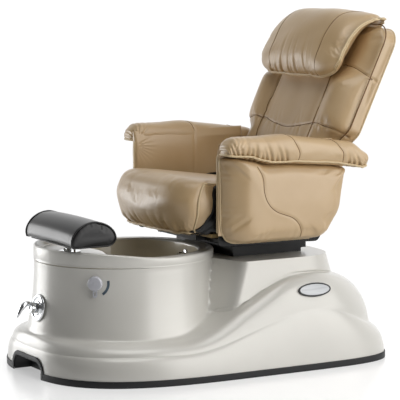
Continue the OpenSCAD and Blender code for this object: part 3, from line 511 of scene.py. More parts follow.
def arch_block(w, h, y0, y1):
    """The notch's outline carried from y0 back to y1."""
    p = arch(w, h)
    return closed_rings(np.array([np.c_[p[:, 0], np.full(len(p), y), p[:, 1]] for y in (y0, y1)]))


def cut(obj, shapes):
    """Takes closed shapes out of a piece with Blender's exact boolean, one after another."""
    for points, faces in shapes:
        mesh = bpy.data.meshes.new("cutter")
        mesh.from_pydata((points - [0, MIDDLE, 0]).tolist(), [], turned_out(points, faces))
        cutter = placed("cutter", mesh)
        step = obj.modifiers.new("cut", "BOOLEAN")
        step.operation, step.solver, step.object = "DIFFERENCE", "EXACT", cutter
        made = fixed_mesh(obj)
        obj.modifiers.clear()
        old, obj.data = obj.data, made
        bpy.data.meshes.remove(old)
        bpy.data.objects.remove(cutter)
    return obj


NOTCH_W, NOTCH_H, TRIM = 0.128, 0.066, 0.019
base = piece("plinth_shell", (shell_points, shell_faces), "base", "gelcoat", ["base_shell"], 50)
hole_t = np.linspace(0, 2 * np.pi, 120, endpoint=False)
cut(base, [prism(well_outline(-0.009, hole_t), DECK - 0.012, DECK + 0.02),
           arch_block(NOTCH_W + 0.003, NOTCH_H + 0.003, -0.02, 0.04)])
smooth(base.data, 35)

# The strip round the foot and the band that trims the toe notch.
kick_out, kick_in = skirt(KICK_LINE), skirt(FOOT_LINE, -0.0002)
rows = [(kick_in, 0.0), (mix(kick_in, kick_out, 0.8), 0.0), (kick_out, 0.0035), (kick_out, 0.0235),
        (mix(kick_in, kick_out, 0.8), 0.027), (kick_in, 0.027)]
kick_rings = np.array([np.c_[p, np.full(COLUMNS, z)] for p, z in rows])
strip = piece("kick_rubber", closed_rings(kick_rings, loop=True), "base", "black_rubber",
              ["kick_strip"], 50)
cut(strip, [arch_block(NOTCH_W, NOTCH_H, -0.02, 0.06)])
smooth(strip.data)


def on_skirt(line, x):
    """Where an outline's nose crosses x, by solving |x/a|^n + |y/b|^n = 1 for y."""
    half, front, _, nose, _ = line
    return PLINTH_Y - (PLINTH_Y - front) * (1 - np.abs(x / half) ** nose) ** (1 / nose)


hoop = arch(NOTCH_W + TRIM / 2, NOTCH_H + TRIM / 2, 20)[1:-1]
hoop = np.vstack([[hoop[0] * [1, 0] + [0, 0.010]], hoop, [hoop[-1] * [1, 0] + [0, 0.010]]])
hoop = through(hoop, 120)
lip_y = on_skirt(FOOT_LINE, hoop[:, 0]) - 0.001
band_t = np.linspace(0, 2 * np.pi, 16, endpoint=False)
along = unit(np.gradient(hoop, axis=0))
across = np.c_[-along[:, 1], along[:, 0]]
section = np.stack([spow(np.cos(band_t), 0.6) * TRIM / 2, spow(np.sin(band_t), 0.6) * 0.0035], -1)
band = np.stack([hoop[:, None, 0] + across[:, None, 0] * section[None, :, 0],
                 lip_y[:, None] + section[None, :, 1],
                 hoop[:, None, 1] + across[:, None, 1] * section[None, :, 0]], -1)
piece("notch_trim", closed_rings(band), "base", "black_rubber", sharp=50)

# ---------------------------------------------------------------- tub
LIP_T = np.linspace(0, 2 * np.pi, 200, endpoint=False) - np.pi / 2


def lip(inset, z):
    """Ring of the tub's oval lip."""
    return np.c_[(0.340 - inset) * np.cos(LIP_T), TUB_Y + (0.380 - inset) * np.sin(LIP_T),
                 np.full(200, z)]


def well(z, inset=0.0, rim=0.0):
    """Ring of the foot well at height z: it draws in by 40 mm down to its floor, with a foot of
    45 mm radius. rim spreads its mouth."""
    u = (RIM - z) / (RIM - 0.205)
    f = max(0, 0.205 + 0.045 - z)
    foot = 0.045 - math.sqrt(max(0, 0.045**2 - f * f))
    return np.c_[well_outline(0.040 * u + foot - inset - rim, LIP_T), np.full(200, z)]


quarter = np.linspace(0, np.pi / 2, 7)
outside = [lip(0, DECK + 0.0003), lip(0, 0.4535), lip(0.0006, 0.455), lip(0, 0.4565)]
outside += [lip(0.009 * (1 - math.cos(a)), RIM - 0.009 + 0.009 * math.sin(a)) for a in quarter]
outside += [lip(d, RIM - 0.0005 * k) for k, d in enumerate((0.013, 0.017, 0.021, 0.024))]


def rising(rings, share=1.0):
    """The lip's top 90 mm climb 28 mm to the front: z + 0.028 (1 - ramp(0.12, 0.52, y))."""
    out = []
    for ring, part in zip(rings, np.broadcast_to(share, len(rings))):
        lift = 0.028 * (1 - ramp(0.12, 0.52, ring[:, 1])) * ramp(0.440, RIM, ring[:, 2]) * part
        out.append(ring + lift[:, None] * [0, 0, 1])
    return out


outside = rising(outside, np.r_[np.ones(len(outside) - 4), 0.97, 0.72, 0.28, 0.03])
ledge = [mix(lip(0.027, RIM), well(RIM, 0, 0.012) * [1, 1, 0] + [0, 0, RIM], s)
         for s in (0, 0.3, 0.6, 0.9)]
mouth = [well(RIM - 0.008 * (1 - math.cos(a)), 0, 0.009 * (1 - math.sin(a))) for a in quarter]
depths = np.r_[np.linspace(RIM - 0.011, 0.255, 14),
               0.205 + 0.045 * (1 - np.sin(np.linspace(0.08, 1, 9) * np.pi / 2))]
inside = [well(z) for z in depths]
under = [well(z, 0.005) - [0, 0, 0.005] for z in depths[::-1]]
under += [lip(0.030, RIM - 0.006)] + rising([lip(0.012, RIM - 0.006), lip(0.006, RIM - 0.012)], 0.9)
under += [lip(0.005, DECK + 0.0003)]


def shrink(ring, s):
    """A ring drawn in to share s about the well's middle."""
    return ring * [s, s, 1] + [0, (1 - s) * 0.48, 0]


top_floor = [shrink(inside[-1], s) for s in (0.85, 0.6, 0.3, 0.052)]
low_floor = [shrink(under[0], s) for s in (0.052, 0.3, 0.6, 0.85)]
tub_rings = np.array(outside + ledge + mouth + inside + top_floor + low_floor + under)
tub = piece("tub", closed_rings(tub_rings, loop=True), "base", "basin_acrylic", ["tub_basin"], 50)
tub.data.materials.append(gelcoat)
rim_faces = 200 * (len(outside) + len(ledge) + len(mouth) - 1)
tub.data.polygons.foreach_set("material_index",
                              (np.arange(len(tub.data.polygons)) < rim_faces).astype(np.int32))

# ---------------------------------------------------------------- mixer, knob and name plate
MIXER_AT, MIXER_OUT = np.array([0, 0.0603438, 0.268]), unit([0, -0.990219, 0.139521])
MIXER_UP = np.cross([-1, 0, 0], MIXER_OUT)


def at_mixer(p):
    """Places of (x, y, z) points of the mixer, whose z stands out of the wall and y runs up it."""
    p = np.asarray(p, float)
    return MIXER_AT + p[..., :1] * [1, 0, 0] + p[..., 1:2] * MIXER_UP + p[..., 2:] * MIXER_OUT


plate_profile = [(0.0205, 0.0024), (0.040, 0.0023), (0.0545, 0.0023), (0.0560, 0.0034),
                 (0.0556, 0.0060), (0.0530, 0.0092), (0.0490, 0.0108), (0.0445, 0.0100),
                 (0.0410, 0.0072), (0.0370, 0.0056), (0.0310, 0.0056), (0.0290, 0.0080),
                 (0.0270, 0.0112), (0.0235, 0.0120), (0.0205, 0.0116)]
plate = closed_rings(lathe(through(plate_profile, 70, closed=True), MIXER_AT, MIXER_OUT, 80)[0][:-2]
                     .reshape(70, 80, 3), loop=True)
piece("mixer_cover", plate, "base", "chrome", ["mixer_plate"], 60)
horn_path = at_mixer(through([(0, 0.004, 0.030), (0, 0.014, 0.050), (0, 0.010, 0.066),
                              (0, -0.012, 0.082), (0, -0.040, 0.092), (0, -0.0445, 0.0925)], 60))
along_horn = np.linspace(0, 1, 60)
wide = np.interp(along_horn, [0, 0.2, 0.5, 0.85, 1], [0.0075, 0.0095, 0.0150, 0.0120, 0.0050])
thick = np.interp(along_horn, [0, 0.2, 0.5, 0.85, 1], [0.0090, 0.0105, 0.0105, 0.0060, 0.0030])
heading = unit(np.gradient(horn_path, axis=0))
sideways = np.array([1.0, 0, 0])
t = np.linspace(0, 2 * np.pi, 28, endpoint=False)
horn_rings = horn_path[:, None] + wide[:, None, None] * np.cos(t)[None, :, None] * sideways \
    + thick[:, None, None] * np.sin(t)[None, :, None] * np.cross(heading, sideways)[:, None]
pin = lathe([(0.0029, -0.0212), (0.0029, 0.0212)], at_mixer([0, 0.004, 0.032]), (1, 0, 0), 24)
piece("mixer_horn", joined(closed_rings(horn_rings), pin), "mixer_handle", "chrome",
      ["mixer_lever"], 60)

# ---------------------------------------------------------------- tools for the soft goods
def rounded(corners, n=10):
    """Closed outline of (x, y, radius) corners, each an arc that touches the sides it joins."""
    p = np.array(corners, float)
    out = []
    for before, here, after in zip(np.roll(p, 1, 0), p, np.roll(p, -1, 0)):
        u, w = unit(before[:2] - here[:2]), unit(after[:2] - here[:2])
        half = math.acos(float(np.clip(u @ w, -1, 1))) / 2
        mid = here[:2] + unit(u + w) * here[2] / math.sin(half)
        s, e = (here[:2] + v * here[2] / math.tan(half) - mid for v in (u, w))
        f = math.pi - 2 * half
        k = np.linspace(0, 1, n + 1)[:, None]
        out.append(mid + (np.sin((1 - k) * f) * s + np.sin(k * f) * e) / math.sin(f))
    return np.vstack(out)


def evenly(outline, n):
    """A closed outline as n points the same length apart."""
    p = np.vstack([outline, outline[:1]])
    s = np.r_[0, np.cumsum(np.linalg.norm(np.diff(p, axis=0), axis=1))]
    at = np.linspace(0, s[-1], n, endpoint=False)
    return np.stack([np.interp(at, s, p[:, k]) for k in range(p.shape[1])], 1)


def inward(outline):
    """Unit normals of a closed outline in its plane, turned towards its inside."""
    ahead = unit(np.roll(outline, -1, 0) - np.roll(outline, 1, 0))
    normal = np.c_[-ahead[:, 1], ahead[:, 0]]
    x, y = outline.T
    area = (x * np.roll(y, -1) - np.roll(x, -1) * y).sum()
    return normal if area > 0 else -normal


def slab(outline, stations, spine, order=(2, 0, 1)):
    """A pad on an outline. Each station (height, inset, share) is a ring: the outline drawn in by
    the inset, then by that share of the way to the spine, and set at the height. order says
    which of outline's first, second and the height are x, y and z."""
    normal = inward(outline)
    rings = []
    for height, inset, share in stations:
        flat = mix(outline + normal * inset, spine, share)
        rings.append(np.c_[flat, np.full(len(flat), height)][:, order])
    return np.array(rings)


def swollen(shape, voxel, cap, held=None):
    """The shape as an inflated cloth: remeshed, blown up for 20 frames without gravity, with no
    point moving further than cap (cap tanh(d / cap)), and subdivided once. held marks the points
    that the board behind holds."""
    points, faces = shape
    mesh = bpy.data.meshes.new("bag")
    mesh.from_pydata(points.tolist(), [], turned_out(points, faces))
    bag = placed("bag", mesh)
    step = bag.modifiers.new("even", "REMESH")
    step.mode, step.voxel_size = "VOXEL", voxel
    step = bag.modifiers.new("even out", "SMOOTH")
    step.iterations = 2
    bag.data = fixed_mesh(bag)
    bag.modifiers.clear()
    start = vertices_of(bag.data)
    cloth = bag.modifiers.new("cloth", "CLOTH")
    cloth.settings.use_pressure = True
    cloth.settings.uniform_pressure_force = PRESSURE
    cloth.settings.effector_weights.gravity = 0
    cloth.settings.quality = 4
    if held is not None:
        group = bag.vertex_groups.new(name="held")
        group.add(np.flatnonzero(held(start)).tolist(), 1.0, "REPLACE")
        cloth.settings.vertex_group_mass = "held"
    for f in range(1, FRAMES + 1):
        bpy.context.scene.frame_set(f)
    moved = vertices_of(fixed_mesh(bag)) - start
    bpy.context.scene.frame_set(1)
    length = np.maximum(np.linalg.norm(moved, axis=1, keepdims=True), 1e-9)
    bag.modifiers.clear()
    eased = start + moved / length * cap * np.tanh(length / cap)
    bag.data.vertices.foreach_set("co", eased.ravel())
    step = bag.modifiers.new("finer", "SUBSURF")
    step.levels = step.render_levels = 1
    made = fixed_mesh(bag)
    out = vertices_of(made), [list(f.vertices) for f in made.polygons]
    bpy.data.objects.remove(bag)
    return out


def vertices_of(mesh):
    """A mesh's points as an (n, 3) array."""
    out = np.empty(len(mesh.vertices) * 3)
    mesh.vertices.foreach_get("co", out)
    return out.reshape(-1, 3)


def groove(points, paths, depth, width):
    """Relief of sewn seams: -depth exp(-(d / width)^2), d from the nearest path, with the stuffing
    swelling softly on both sides."""
    out = np.zeros(len(points))
    for path in paths:
        near = np.abs(points - path.mean(0)).max(1) < np.abs(path - path.mean(0)).max() + 6 * width
        d = far_from(points[near], path)
        out[near] -= depth * bell(d, width) - 0.22 * depth * np.exp(-(d / (3.2 * width)) ** 2)
    return out


def surface_of(points, faces):
    """Something that finds the nearest place and normal on a mesh."""
    return BVHTree.FromPolygons(points.tolist(), turned_out(points, faces))


def on_surface(tree, path, lift=0.0):
    """Path points brought to the nearest place on a surface and lifted off it, and its normals."""
    found = [tree.find_nearest(Vector(p)) for p in path]
    spots = np.array([f[0] for f in found])
    normals = np.array([f[1] for f in found])
    for _ in range(3):
        normals[1:-1] = unit(normals[:-2] + normals[1:-1] + normals[2:])
    return spots + normals * lift, normals


def welts(tree, paths, radius, lift, wave=0.0):
    """Cords laid along paths on a surface, as one shape. wave makes them wander a little."""
    parts = []
    for path in paths:
        spots, normals = on_surface(tree, path, lift)
        for _ in range(2):
            spots[1:-1] = (spots[:-2] + 2 * spots[1:-1] + spots[2:]) / 4
        if wave:
            s = np.linspace(0, 1, len(spots))
            swing = sum(rng.uniform(0.4, 1) * np.sin(2 * np.pi * (f * s + rng.uniform()))
                        for f in (3, 7, 12))
            side = unit(np.cross(np.gradient(spots, axis=0), normals))
            spots = spots + side * (wave * swing * np.sin(np.pi * s) ** 0.3)[:, None]
        parts.append(tube(spots, radius, normals, sides=CORD_SIDES))
    return joined(*parts)


def flipped(points):
    """The same points on the other side of the chair."""
    return points * [-1, 1, 1]


# ---------------------------------------------------------------- seat
def seat_line(corners):
    """(y, z) corners of the seat cushion."""
    return evenly(rounded(corners), 420)


SEAT_HALF = 0.310
seat_side = seat_line([(0.640, 0.5475, 0.020), (0.548, 0.573, 0.040), (0.512, 0.690, 0.075),
                       (0.546, 0.787, 0.055), (0.720, 0.769, 0.150), (1.160, 0.711, 0.030),
                       (1.160, 0.562, 0.010), (0.690, 0.5615, 0.012)])
spine = np.c_[np.clip(seat_side[:, 0], 0.64, 1.10), mix(seat_side[:, 1], 0.655, 0.8)]
stations = [(-SEAT_HALF - 0.003 * (1 - s), 0.012, 0.95 * (1 - s) ** 1.2)
            for s in np.linspace(0, 0.9, 8)]
stations += [(-SEAT_HALF + 0.012 * (1 - math.cos(a)), 0.012 * (1 - math.sin(a)), 0)
             for a in np.linspace(0, np.pi / 2, 5)]
stations += [(x, 0, 0) for x in np.linspace(-SEAT_HALF + 0.017, SEAT_HALF - 0.017, 118)]
stations += [(-h, i, s) for h, i, s in stations[12::-1]]
seat_rings = slab(seat_side, stations, spine)


def seat_drape(p):
    """The front roll falls back towards its sides and narrows at its foot: y + 0.08 |x/a|^5 in
    front, x less by up to 11% below 0.64 m, and a crown on top."""
    front = 1 - ramp(0.62, 0.80, p[:, 1])
    low = (1 - ramp(0.53, 0.66, p[:, 2])) * (1 - ramp(0.62, 0.74, p[:, 1]))
    side = np.abs(p[:, 0] / SEAT_HALF)
    out = p.copy()
    out[:, 0] *= 1 - 0.11 * low
    depth = mix(0.078, 0.045, 1 - ramp(0.55, 0.68, p[:, 2]))
    out[:, 1] += depth * side**5 * front
    out[:, 2] += (0.004 - 0.014 * side**4) * ramp(0.70, 0.76, p[:, 2])
    return out


seat_shape = closed_rings(seat_rings)
seat_shape = (seat_drape(seat_shape[0]), seat_shape[1])
seat_shape = swollen(seat_shape, 0.007, 0.010, lambda p: p[:, 2] < 0.565)
seat_pleats = np.sort(np.r_[-0.265, -0.24, -0.205, rng.uniform(-0.17, 0.20, 7),
                            0.222, 0.245, 0.268])
pleat_width = rng.uniform(0.006, 0.010, len(seat_pleats))
pleat_depth = (rng.uniform(0.008, 0.013, len(seat_pleats))
               * (0.8 + 0.6 * np.abs(seat_pleats / 0.27) ** 3))
pleat_lean = rng.uniform(-0.18, 0.18, len(seat_pleats)) + 0.25 * seat_pleats / 0.27


def seat_relief(p):
    """Gathers that rise from the lower piping and die out at about 0.64 m."""
    up = np.clip(p[:, 2] - 0.553, 0, 1)
    x = p[:, 0, None] - pleat_lean * up[:, None]
    each = pleat_depth * np.exp(-((x - seat_pleats) / (pleat_width * (1 + 9 * up[:, None]))) ** 2)
    fade = bell(up, 0.055) * (1 - ramp(0.66, 0.72, p[:, 1]))
    ripple = 0.0012 * np.sin(p[:, 0] * 95 + 2 * np.sin(p[:, 0] * 31)) * bell(up, 0.10)
    return (-each.sum(1) + ripple * (p[:, 1] < 0.70)) * fade


side_path = through([(0.312, 1.02, 0.742), (0.311, 0.86, 0.770), (0.308, 0.76, 0.780),
                     (0.303, 0.700, 0.778), (0.300, 0.655, 0.762), (0.300, 0.634, 0.720),
                     (0.300, 0.625, 0.660), (0.292, 0.624, 0.610), (0.280, 0.628, 0.566)], 120)
seat_paths = [side_path, flipped(side_path)]
points, faces = seat_shape
move = seat_relief(points) + groove(points, seat_paths, 0.003, 0.006)
points = pushed(points, faces, move)
seat = piece("seat_roll", (points, faces), "seat", "leather", ["seat_cushion"])
# The boxing behind the roll is black: painted shade of the gap beside the arm. The underside is
# black too.
seat.data.materials.append(vinyl_and_shade)
spot = np.empty(3 * len(seat.data.polygons))
seat.data.polygons.foreach_get("center", spot)
spot = spot.reshape(-1, 3) + [0, MIDDLE, 0]
facing = np.empty(3 * len(seat.data.polygons))
seat.data.polygons.foreach_get("normal", facing)
facing = facing.reshape(-1, 3)
behind = np.interp(spot[:, 2], [0.555, 0.594, 0.633, 0.650, 0.752, 0.775],
                   [0.60, 0.654, 0.675, 0.690, 0.700, 0.74])
# dark marks the side faces behind the roll, black as painted shade, and the underside.
dark = ((np.abs(facing[:, 0]) > 0.55) & (spot[:, 1] > behind)
        | (facing[:, 2] < -0.6) & (spot[:, 1] > 0.66))
seat.data.polygons.foreach_set("material_index", dark.astype(np.int32))
seat_tree = surface_of(points, faces)
# A black cord along the edge of the seat's painted shade.
shade_edge_run = through([(0.301, 0.735, 0.762), (0.301, 0.702, 0.740), (0.301, 0.692, 0.660),
                    (0.296, 0.676, 0.633), (0.286, 0.655, 0.594), (0.277, 0.612, 0.560)], 70)
piece("seat_shade_edge", welts(seat_tree, [shade_edge_run, flipped(shade_edge_run)], 0.0050, 0.0010), "seat",
      "black_vinyl")
hem_x = np.linspace(-0.276, 0.276, 90)
hem = np.c_[hem_x, 0.566 + 0.045 * np.abs(hem_x / 0.276) ** 4, np.full(90, 0.556)]
piece("seat_piping", welts(seat_tree, seat_paths, 0.0042, 0.002), "seat", "leather", look=welt)
piece("seat_hem", welts(seat_tree, [hem], 0.0052, 0.003, wave=0.0016), "seat", "leather", look=welt)

# ---------------------------------------------------------------- back
PIVOT_Y, PIVOT_Z = 1.210, 0.600
LEAN_S, LEAN_C = math.sin(math.radians(25.5)), math.cos(math.radians(25.5))


def on_back(p):
    """Points (x, n, h) of the back, n out of its front and h up along it, as places: y is
    pivot - n c + h s, z is pivot + n s + h c."""
    p = np.asarray(p, float)
    return np.stack([p[..., 0], PIVOT_Y - p[..., 1] * LEAN_C + p[..., 2] * LEAN_S,
                     PIVOT_Z + p[..., 1] * LEAN_S + p[..., 2] * LEAN_C], -1)


def back_corners(d):
    """(x, h) corners of the back cushion drawn in by d."""
    right = [(0.322 - d, 0.062 + d, 0.030), (0.330 - d, 0.314, 0.050), (0.382 - d, 0.372, 0.050),
             (0.382 - d, 0.853 - d, 0.088)]
    return right + [(-x, h, r) for x, h, r in right[::-1]]


back_line = evenly(rounded(back_corners(0.0)), 640)
spine = np.c_[0.02 * back_line[:, 0], np.clip(back_line[:, 1], 0.16, 0.72)]
stations = ([(0.008, 0.004, s) for s in (0.97, 0.7, 0.4, 0.2, 0.05)]
            + [(0.0078, 0.002, 0), (0.012, 0, 0)])
stations += [(n, 0, 0) for n in np.linspace(0.018, 0.062, 9)]
stations += [(0.066, 0.001, 0)]
stations += [(0.067, 0.004, s) for s in np.linspace(0.006, 1, 66) ** 1.15 * 0.985]
back_rings = slab(back_line, stations, spine, (0, 2, 1))


def back_crown(p):
    """The front face stands out in a soft cushion: up to 76 mm, as a quarter ellipse over
    100 mm from its sides and 60 mm from its ends, less under the pillow and at the foot, and lower
    between the two seams."""
    x, n, h = p.T
    half = 0.328 + 0.054 * ramp(0.303, 0.382, h)
    edge = np.minimum(np.minimum((half - np.abs(x)) / 0.100, (0.853 - h) / 0.060),
                      (h - 0.062) / 0.060)
    share = np.sqrt(np.clip(1 - (1 - np.clip(edge, 0, 1)) ** 2, 0, 1))
    tall = mix(0.076, 0.018, ramp(0.54, 0.66, h)) - 0.014 * (1 - ramp(0.05, 0.30, h))
    tall = tall - 0.022 * (1 - ramp(0.16, 0.28, np.abs(x))) * (1 - ramp(0.54, 0.60, h))
    out = p.copy()
    out[:, 1] += np.where(n > 0.0655, share * tall, 0)
    return out


back_points, back_faces = closed_rings(back_rings, (True, False))
# The last ring is a narrow loop about x = 0, closed by a strip from each point to its mirror image.
ring_size = len(back_line)
top = int(np.argmax(back_line[:, 1] - 0.1 * np.abs(back_line[:, 0])))
top -= int(back_line[top, 0] < 0)
last_ring = (len(back_rings) - 1) * ring_size
rights = last_ring + (top - np.arange(ring_size // 2)) % ring_size
lefts = last_ring + (top + 1 + np.arange(ring_size // 2)) % ring_size
back_faces += np.stack([rights[:-1], lefts[:-1], lefts[1:], rights[1:]], -1).tolist()
back_shape = swollen((on_back(back_crown(back_points)), back_faces), 0.008, 0.012,
                     lambda p: ((PIVOT_Y - p[:, 1]) * LEAN_C
                                + (p[:, 2] - PIVOT_Z) * LEAN_S) < 0.020)


def to_back(p):
    """Places as (x, n, h) of the back."""
    y, z = PIVOT_Y - p[:, 1], p[:, 2] - PIVOT_Z
    return np.stack([p[:, 0], y * LEAN_C + z * LEAN_S, z * LEAN_C - y * LEAN_S], 1)


def seam_on_back(points, n=90):
    """A smooth path through (x, h) points, laid near the front face."""
    flat = through(points, n)
    return on_back(np.c_[flat[:, 0], 0.128 - 0.058 * ramp(0.34, 0.382, np.abs(flat[:, 0])),
                         flat[:, 1]])


upright = seam_on_back([(0.193, 0.10), (0.196, 0.25), (0.195, 0.40), (0.193, 0.50), (0.190, 0.62)])
lower = seam_on_back([(-0.355, 0.350), (-0.30, 0.356), (-0.195, 0.362), (-0.10, 0.345), (0, 0.334),
                      (0.10, 0.345), (0.195, 0.362), (0.30, 0.356), (0.355, 0.350)])
wing = seam_on_back([(0.197, 0.650), (0.29, 0.638), (0.36, 0.618), (0.382, 0.606)], 40)
OUT = on_back([0, 1, 0]) - on_back([0, 0, 0])
bare_tree = surface_of(*back_shape)


def dropped(path):
    """Path points moved square to the back until they meet its front face."""
    hits = [bare_tree.ray_cast(Vector(p + OUT * 0.1), Vector(-OUT), 0.2)[0] for p in path]
    return np.array([p if hit is None else hit for p, hit in zip(path, hits)])


back_seams = [dropped(path) for path in (upright, flipped(upright), lower, wing, flipped(wing))]
crease_at = rng.uniform(-0.32, 0.32, 26)
crease_lean = rng.uniform(-0.5, 0.5, 26)


def back_relief(p):
    """Pulls in the leather: short creases that leave the cross seam and the foot of the back, and
    broad soft hollows."""
    x, n, h = to_back(p).T
    front = ramp(0.066, 0.075, n)
    off = h - (0.334 + 0.03 * np.abs(x / 0.335) ** 1.6)
    lean = x[:, None] - crease_lean * off[:, None]
    pulls = bell(lean - crease_at, 0.006).sum(1)
    near = np.exp(-(np.abs(off) / 0.030)) * (np.abs(x) < 0.33)
    broad = 0.0012 * np.sin(x * 23 + 3 * np.sin(h * 9)) * np.sin(h * 17 + 2 * np.sin(x * 11))
    valley = -0.006 * bell(np.abs(x) - 0.195, 0.035)
    return front * (-0.0022 * pulls * near + broad + valley)


points, faces = back_shape
move = back_relief(points) + groove(points, back_seams, 0.0042, 0.006)
points = pushed(points, faces, move)
back = piece("back_pad", (points, faces), "back", "leather", ["back_cushion"])
back_tree = surface_of(points, faces)
# Dark cords in the back's seams: painted shade of the grooves.
piece("back_seam_shade", welts(back_tree, back_seams, 0.0013, 0.0003), "back", "leather", look=seam_shade)
rim_line = evenly(rounded(back_corners(0.001)), 320)
rim_path = on_back(np.c_[rim_line[:, 0], np.full(320, 0.066), rim_line[:, 1]])
far_line = on_back(np.c_[rim_line[:, 0], np.full(320, 0.014), rim_line[:, 1]])
# A dark cord round the front edge: painted shade of the edge seam.
piece("back_edge_seam_shade", tube(rim_path, 0.0026, OUT, closed=True, sides=CORD_SIDES), "back",
      "leather", look=seam_shade)
piece("back_piping", tube(far_line, 0.0036, OUT, closed=True, sides=CORD_SIDES), "back", "leather",
      look=welt)

# The moulded rear of the back: a shell with room for the frame, open under it for the lever.


def cover_line(d):
    """(x, h) outline of the rear shell drawn in by d."""
    h = 0.302
    return evenly(rounded([(h - d, 0.078 + d, 0.040), (h - d, 0.837 - d, 0.070),
                           (d - h, 0.837 - d, 0.070), (d - h, 0.078 + d, 0.040)]), 260)


cover_out = cover_line(0.0)
spine = np.c_[0.2 * cover_out[:, 0], np.clip(cover_out[:, 1], 0.22, 0.70)]
curve = np.linspace(0, np.pi / 2, 22)
skin_out = [(0.0062 - 0.014 * s, 0, 0) for s in (0, 0.5, 1)]
skin_out += [(-0.008 - 0.058 * math.sin(a), 0.002 * math.sin(a), 0.985 * (1 - math.cos(a)) ** 1.1)
             for a in curve[1:]]
skin_in = [(n + 0.0045, 0.0045, s) for n, _, s in skin_out[::-1]]
cover_rings = slab(cover_out, skin_in + skin_out, spine, (0, 2, 1))
points, faces = closed_rings(cover_rings)
cover = piece("back_shell", (on_back(points), faces), "back", "leather", ["back_cover"], 60)
slot_ring = np.array([(-0.215, -0.12, 0.04), (0.215, -0.12, 0.04), (0.215, 0.004, 0.04),
                      (-0.215, 0.004, 0.04)])
cut(cover, [closed_rings(np.array([on_back(slot_ring), on_back(slot_ring + [0, 0, 0.08])]))])
smooth(cover.data, 60)
hem_line = evenly(rounded([(0.298, 0.082, 0.040), (0.298, 0.833, 0.070), (-0.298, 0.833, 0.070),
                           (-0.298, 0.082, 0.040)]), 240)
hem_path = on_back(np.c_[hem_line[:, 0] * 1.013, np.full(240, -0.006),
                         0.4575 + (hem_line[:, 1] - 0.4575) * 1.008])
piece("back_shell_piping", tube(hem_path, 0.004, OUT, closed=True, sides=CORD_SIDES),
      "back", "leather", look=welt)

# ---------------------------------------------------------------- head pillow
ROWS, ACROSS = 190, 151
u = np.linspace(-1, 1, ACROSS)
v = np.linspace(0, 1, ROWS)


def path_nh(points):
    """(n, h) path in millimetres, as ROWS places in metres."""
    return through(np.array(points) / 1000, ROWS)


middle_out = path_nh([(178, 548), (204, 556), (226, 586), (243, 640), (247, 712), (236, 785),
                      (207, 838), (150, 873), (80, 894), (20, 898), (-28, 892), (-54, 868),
                      (-66, 830), (-68, 780)])
middle_in = path_nh([(178, 548), (148, 562), (110, 596), (88, 650), (86, 760), (81, 838), (60, 864),
                     (20, 868), (-18, 866), (-44, 852), (-60, 822), (-68, 780)])
edge_line = path_nh([(166, 590), (182, 602), (191, 646), (187, 700), (180, 750), (160, 800),
                     (124, 842), (70, 880), (20, 888), (-22, 880), (-46, 862), (-62, 828),
                     (-68, 784)])


def pillow_skin(middle):
    """One skin of the pillow: the middle path drifts to the edge path with |u|^2.6 (|u|^7 at the
    foot), and it narrows at the foot's corners and over the top."""
    w = (np.abs(u)[None] ** (7 - 4.4 * ramp(0.0, 0.22, v))[:, None])[..., None]
    nh = mix(middle[:, None, :], edge_line[:, None, :], w)
    corner = 1 - 0.14 * (1 - np.clip(v / 0.12, 0, 1)) ** 2 - 0.58 * ramp(0.62, 0.92, v)
    x = 0.314 * u[None, :] * corner[:, None]
    return np.concatenate([x[..., None], nh], -1)


front_skin, rear_skin = pillow_skin(middle_out), pillow_skin(middle_in)
points, faces = two_skins(front_skin, rear_skin)
pillow_shape = swollen((on_back(points), faces), 0.007, 0.008)
seam_v = slice(4, int(ROWS * 0.80))


def along_pillow(x):
    """A lengthwise path on the pillow's outer skin at x."""
    w = abs(x / 0.314) ** 2.6
    nh = mix(middle_out, edge_line, w)[seam_v]
    return on_back(np.c_[np.full(len(nh), x), nh])


pillow_seams = [along_pillow(0.190)[::2], along_pillow(-0.168)[::2]]
pull_at = np.r_[rng.uniform(-0.13, 0.19, 20), rng.uniform(-0.27, 0.27, 6)]
pull_len = rng.uniform(0.02, 0.11, 26)
pull_wide = rng.uniform(0.003, 0.006, 26)


def pillow_relief(p):
    """Pulls that rise from the lower piping and lean to the middle, and a soft unevenness."""
    x, n, h = to_back(p).T
    up = np.clip(h - 0.556, 0, 1)[:, None]
    lean = x[:, None] + 0.55 * up * (x[:, None] - 0.02) * 4
    pulls = np.exp(-((lean - pull_at) / (pull_wide * (1 + 6 * up))) ** 2
                   - (up / pull_len) ** 2).sum(1)
    soft = 0.0016 * np.sin(x * 27 + 2 * np.sin(h * 14)) * np.sin(h * 24)
    return (n > 0.10) * (-0.0030 * pulls + soft)


points, faces = pillow_shape
move = pillow_relief(points) + groove(points, pillow_seams, 0.0045, 0.0065)
points = pushed(points, faces, move)
pillow = piece("pillow", (points, faces), "back", "leather", ["head_pillow"])
pillow_tree = surface_of(points, faces)
# Dark cords in the pillow's seams: painted shade of the grooves.
piece("pillow_seam_shade", welts(pillow_tree, pillow_seams, 0.0013, 0.0003), "back", "leather",
      look=seam_shade)
frame_line = np.vstack([front_skin[0, :, :], front_skin[:, -1, :], front_skin[-1, ::-1, :],
                        front_skin[::-1, 0, :]])
border = evenly(on_back(frame_line), 420)
border = mix(border, on_surface(pillow_tree, border)[0], 0.9)
outward = unit(border - on_back(np.c_[border[:, 0] * 0, np.full(420, 0.02), np.full(420, 0.72)]))
cord_step = on_back([0, 0.0042, 0]) - on_back([0, 0, 0])
double = [tube(border + d, 0.0042, outward, closed=True, sides=CORD_SIDES)
          for d in (cord_step, -cord_step)]
piece("pillow_piping", joined(*double), "back", "leather", look=welt)

